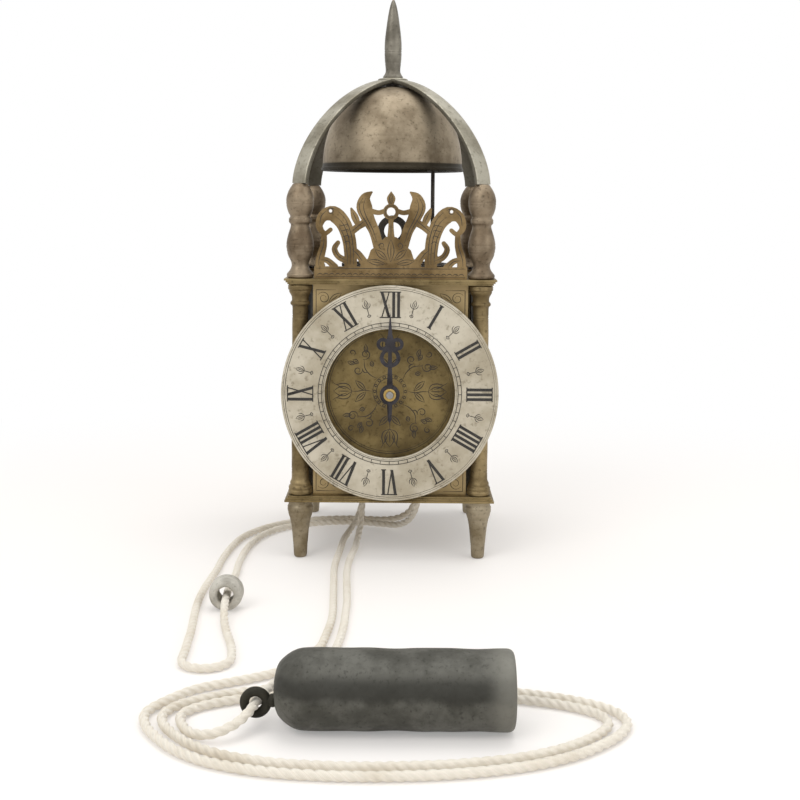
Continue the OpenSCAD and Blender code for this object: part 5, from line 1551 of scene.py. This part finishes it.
@dataclass
class RopeWork:
    """The endless rope: over both sheaves, round the weight and back, and its slack bight.

    Routes are the points of the CAD model's rope in millimetres.
    """

    lay: Lay = field(default_factory=Lay)
    sheave_radius: float = 20.5
    sheave_height: float = 82.0
    going_y: float = -15.0
    strike_y: float = 14.0
    fall_end: float = 40.0
    floor_centre: float = 2.5
    eye: Sequence[float] = (-61.0, -350.0, 12.0)
    first_turn: float = 169.0
    last_turn: float = -571.0
    turn_step: float = 15.0
    widening: float = 9.0

    def slack_route(self) -> list[Sequence[float]]:
        """The bight from the right front fall to the right rear fall."""
        return [
            (20.5, -15, 40), (20, -12, 25), (15, -3, 12), (6, 8, 4.5), (-8, 17, 2.5),
            (-24, 22, 2.5), (-42, 22, 2.5), (-58, 18, 2.5), (-73, 11, 2.5), (-86, -1, 2.5),
            (-95, -16, 2.5), (-100, -33, 2.5), (-103, -52, 2.5), (-104, -72, 2.5),
            (-104, -92, 2.5), (-103, -112, 2.5), (-103, -130, 2.5), (-102, -146, 3.4),
            (-101, -163, 7.2), (-100, -178, 7.85), (-99, -193, 7.2), (-96.5, -211, 3.4),
            (-92.5, -228, 2.5), (-88.5, -243, 2.5), (-85.8, -256, 2.5), (-84.5, -269, 2.5),
            (-86.3, -275.8, 2.5),
            (-91.2, -280.7, 2.5), (-98, -282.5, 2.5), (-104.8, -280.7, 2.5),
            (-109.7, -275.8, 2.5), (-111.5, -269, 2.5), (-112, -255, 2.5), (-113, -241, 2.5),
            (-114, -225, 2.5), (-116, -205, 2.5), (-118, -184, 2.5), (-119, -164, 2.5),
            (-119, -144, 2.5), (-118, -124, 2.5), (-117, -104, 2.5), (-117, -84, 2.5),
            (-116, -64, 2.5), (-114, -44, 2.5), (-110, -24, 2.5), (-102, -6, 2.5),
            (-90, 10, 2.5), (-75, 22, 2.5), (-58, 29, 2.5), (-40, 32, 2.5), (-22, 32, 2.5),
            (-6, 29, 2.8), (7, 24, 6), (16, 18, 14), (20, 15, 26), (20.5, 14, 40),
        ]

    def front_run(self) -> list[Sequence[float]]:
        """From the left front fall along the floor to the weight."""
        return [
            (-20.5, -15, 40), (-21, -16, 26), (-22, -21, 12), (-24, -34, 3.5), (-25, -52, 2.5),
            (-27, -72, 2.5), (-28, -92, 2.5), (-28, -112, 2.5), (-27, -132, 2.5),
            (-26, -152, 2.5), (-25, -172, 2.5), (-25, -192, 2.5), (-25, -212, 2.5),
            (-26, -235, 2.5),
        ]

    def rear_run(self) -> list[Sequence[float]]:
        """From the left rear fall along the floor to the loops' end."""
        return [
            (-20.5, 14, 40), (-21, 12, 25), (-25, 5, 11), (-31, -8, 3.2), (-34, -26, 2.5),
            (-35, -46, 2.5), (-36, -66, 2.5), (-37, -86, 2.5), (-37, -106, 2.5),
            (-36, -126, 2.5), (-35, -146, 2.5), (-34, -166, 2.5), (-33, -186, 2.5),
            (-33, -208, 2.5), (-35, -235, 2.5),
        ]

    def turns(self) -> list[Sequence[float]]:
        """The loops round the weight: a waved oval that widens as it turns."""
        degrees = np.arange(self.first_turn, self.last_turn, -self.turn_step)
        f = np.radians(degrees)
        wider = (self.first_turn - degrees) / 360.0 * self.widening
        wave = (1.0 + 0.03 * np.sin(3.0 * f + math.radians(40.0)) + 0.015 * np.sin(5.0 * f))
        across = 2.0 + (101.4 + wider) * wave * np.cos(f)
        deep = -351.0 + (38.4 + wider) * wave * np.sin(f)
        return [(x, y, self.floor_centre) for x, y in zip(across, deep)]

    def weight_route(self) -> list[Sequence[float]]:
        """From the left front fall, through the weight's eye, round it and back."""
        head = [
            (-28, -254, 2.5), (-31, -272, 3.5), (-36, -288, 8), (-43, -303, 11.5),
            (-50, -318, 12.4), (-57, -333, 12), tuple(self.eye), (-63.4, -357.6, 10.8),
            (-68.6, -364.6, 8.2), (-77.5, -368.4, 5.2), (-86.5, -366.2, 3.4), (-94, -358, 2.5),
        ]
        tail = [
            (-97, -311, 2.5), (-82, -302, 2.5), (-67, -294, 2.5), (-54, -284, 2.5),
            (-44, -268, 2.5), (-37, -250, 2.5),
        ]
        return [*self.front_run(), *head, *self.turns(), *tail, *self.rear_run()[::-1]]

    def path(self, route: Sequence[Sequence[float]]) -> Array:
        """The rope's middle line along a route, metres, never below its own radius."""
        line = smooth_path(np.asarray(route, float) * MM, self.lay.step)
        line[:, 2] = np.maximum(line[:, 2], self.floor_centre * MM)
        return line

    def over_sheave(self, y: float) -> Array:
        """Up one fall, half round the sheave and down the other fall, metres."""
        turn = np.radians(np.linspace(0.0, 180.0, 80))
        r, z = self.sheave_radius, self.sheave_height
        bend = np.stack([r * np.cos(turn), np.full_like(turn, y), z + r * np.sin(turn)], axis=1)
        ends = np.array([[r, y, self.fall_end], [-r, y, self.fall_end]])
        return even(np.vstack([ends[:1], bend, ends[1:]]) * MM, self.lay.step)

    def declare(self, name: str, path: Array, nodes: Sequence[str]) -> None:
        """Makes one stretch of rope and gives it its finish, its body and the nodes it stands for.

        Args:
            name: the piece's name.
            path: its middle line, metres.
            nodes: the CAD nodes it stands for.
        """
        rope = dress(self.lay.tube(name, path), ROPE, "case", nodes)

    def build(self) -> None:
        """Makes the weight, the lead ring and all the rope."""
        weight = LeadWeight().build()
        ring = LeadRing().build()
        self.declare("slack_rope", self.path(self.slack_route()), ["rope_counter"])
        self.declare("weight_rope", self.path(self.weight_route()),
                     ["rope_run", "rope_loops"])
        loops = [self.lay.tube(f"sheave_rope_{k}", self.over_sheave(y))
                 for k, y in enumerate((self.going_y, self.strike_y))]
        dress(join("sheave_rope", loops), ROPE, "case", ["rope_sheaves"])


@dataclass
class LeadWeight:
    """The dented lead cylinder on its side, with its iron eye.

    Lengths in millimetres.
    """

    length: float = 116.0
    radius: float = 19.5
    middle: Sequence[float] = (6.0, -350.0)
    eye_radius: float = 5.4
    wire: float = 2.4
    eye_place: Sequence[float] = (-61.0, -350.0, 12.5)

    def dents(self, angle: Array, height: Array) -> Array:
        """Shallow dents and a casting seam as a change of radius.

        Slow sine waves in angle and height give the dents, a narrow bell curve at two
        opposite angles gives the seam, and the line that faces the front stays round.
        """
        h = height / MM
        dent = -0.35 * (1.0 + np.sin(2.0 * angle + 0.11 * h)) * (1.0 + np.sin(0.19 * h + 1.0))
        dent -= 0.5 * np.exp(-(((h - 22.0) / 5.0) ** 2) - ((angle - 4.1) / 0.35) ** 2)
        dent -= 0.6 * np.exp(-(((h + 18.0) / 7.0) ** 2) - ((angle - 5.2) / 0.3) ** 2)
        seam = 0.25 * np.exp(-((np.sin(angle - 0.7) / 0.02) ** 2))
        beside = 1.0 - np.exp(-(((angle - math.pi) / 0.5) ** 2))
        return (dent * 0.45 + seam) * beside * MM

    def build(self) -> list[bpy.types.Object]:
        """Makes the weight and its eye and returns both pieces."""
        half, r = self.length / 2.0, self.radius
        outline = [(0, -half), (5, -half), (12, -half + 1.5), (r - 4, -half + 5),
                   (r - 1, -half + 10), (r, -half + 15), (r, -half + 30), (r, 0),
                   (r, half - 20), (r, half - 5), (r, half - 2), (r - 1.4, half),
                   (r - 4, half), (5, half), (0, half)]
        profile = even(rounded(np.asarray(outline, float), 2), 0.9) * MM
        centre = np.array([self.middle[0], self.middle[1], r]) * MM
        body = revolved("weight_body", profile, centre, "X", 120, self.dents)
        dress(body, LEAD, "case", ["lead_weight"])
        eye = dress(self.iron_eye(), EYE_IRON)
        return [body, eye]

    def iron_eye(self) -> bpy.types.Object:
        """A forged ring and its shank: the wire is thicker where the ring joins the shank."""
        turn = np.linspace(0.0, 2.0 * math.pi, 72, endpoint=False)
        around = np.linspace(0.0, 2.0 * math.pi, 20, endpoint=False)[None, :]
        wire = self.wire * (0.98 + 0.02 * np.cos(turn))[:, None]
        reach = self.eye_radius + wire * np.cos(around)
        ring = np.stack([reach * np.cos(turn)[:, None], wire * np.sin(around),
                         reach * np.sin(turn)[:, None]], axis=-1)
        ring = (ring + np.asarray(self.eye_place)) * MM
        loop = weld(grid_object("weight_eye_loop", ring, wrap_u=True, wrap_v=True))
        start = self.eye_place[0] + self.eye_radius + 0.4
        shank = turned_profile([(0, start), (2.0, start), (2.5, start + 0.6), (3.2, start + 1.6),
                                (3.3, start + 3), (2.8, start + 4), (2.8, start + 7.4),
                                (0, start + 7.4)], step=0.4)
        stem = revolved("weight_eye_stem", shank, (
            0.0, self.middle[1] * MM, (self.eye_place[2] + 1.0) * MM), "X", 32)
        return join("weight_eye", [loop, stem])


@dataclass
class LeadRing:
    """The small lead ring threaded on the slack side of the rope, in millimetres."""

    centre: Sequence[float] = (-100.0, -178.0, 10.5)
    outer: float = 10.5
    bore: float = 5.2

    def wear(self, angle: Array, height: Array) -> Array:
        """Small knocks, sine waves in angle and height, as a change of radius but at +X."""
        knock = 0.12 * np.sin(5.0 * angle + 1.0) * np.sin(0.9 * height / MM)
        return (knock - 0.12) * MM * (np.abs(angle - math.pi / 2.0) > 0.6)

    def build(self) -> bpy.types.Object:
        """Makes the ring: a closed profile turned about Y."""
        r, b = self.outer, self.bore
        outline = np.array([(b, -5.8), (b + 1, -7), (r - 3, -7), (r - 1, -6), (r, -4), (r, 0),
                            (r, 4), (r - 1, 6), (r - 3, 7), (b + 1, 7), (b, 5.8), (b, -5.8)])
        profile = even(outline, 0.6) * MM
        ring = revolved("lead_ring", profile, np.asarray(self.centre) * MM, "Y", 64, self.wear)
        return dress(ring, PALE_LEAD, "case", ["counter_ring"])


def main() -> None:
    """Builds the clock's sub-assemblies in order."""
    logging.basicConfig(level=logging.INFO, format="%(name)s: %(message)s")
    Studio().build()
    Case().build()
    TurnedWork().build()
    BellCage().build()
    Frets().build()
    Dial().build()
    Movement().build()
    RopeWork().build()


if __name__ == "__main__":
    main()
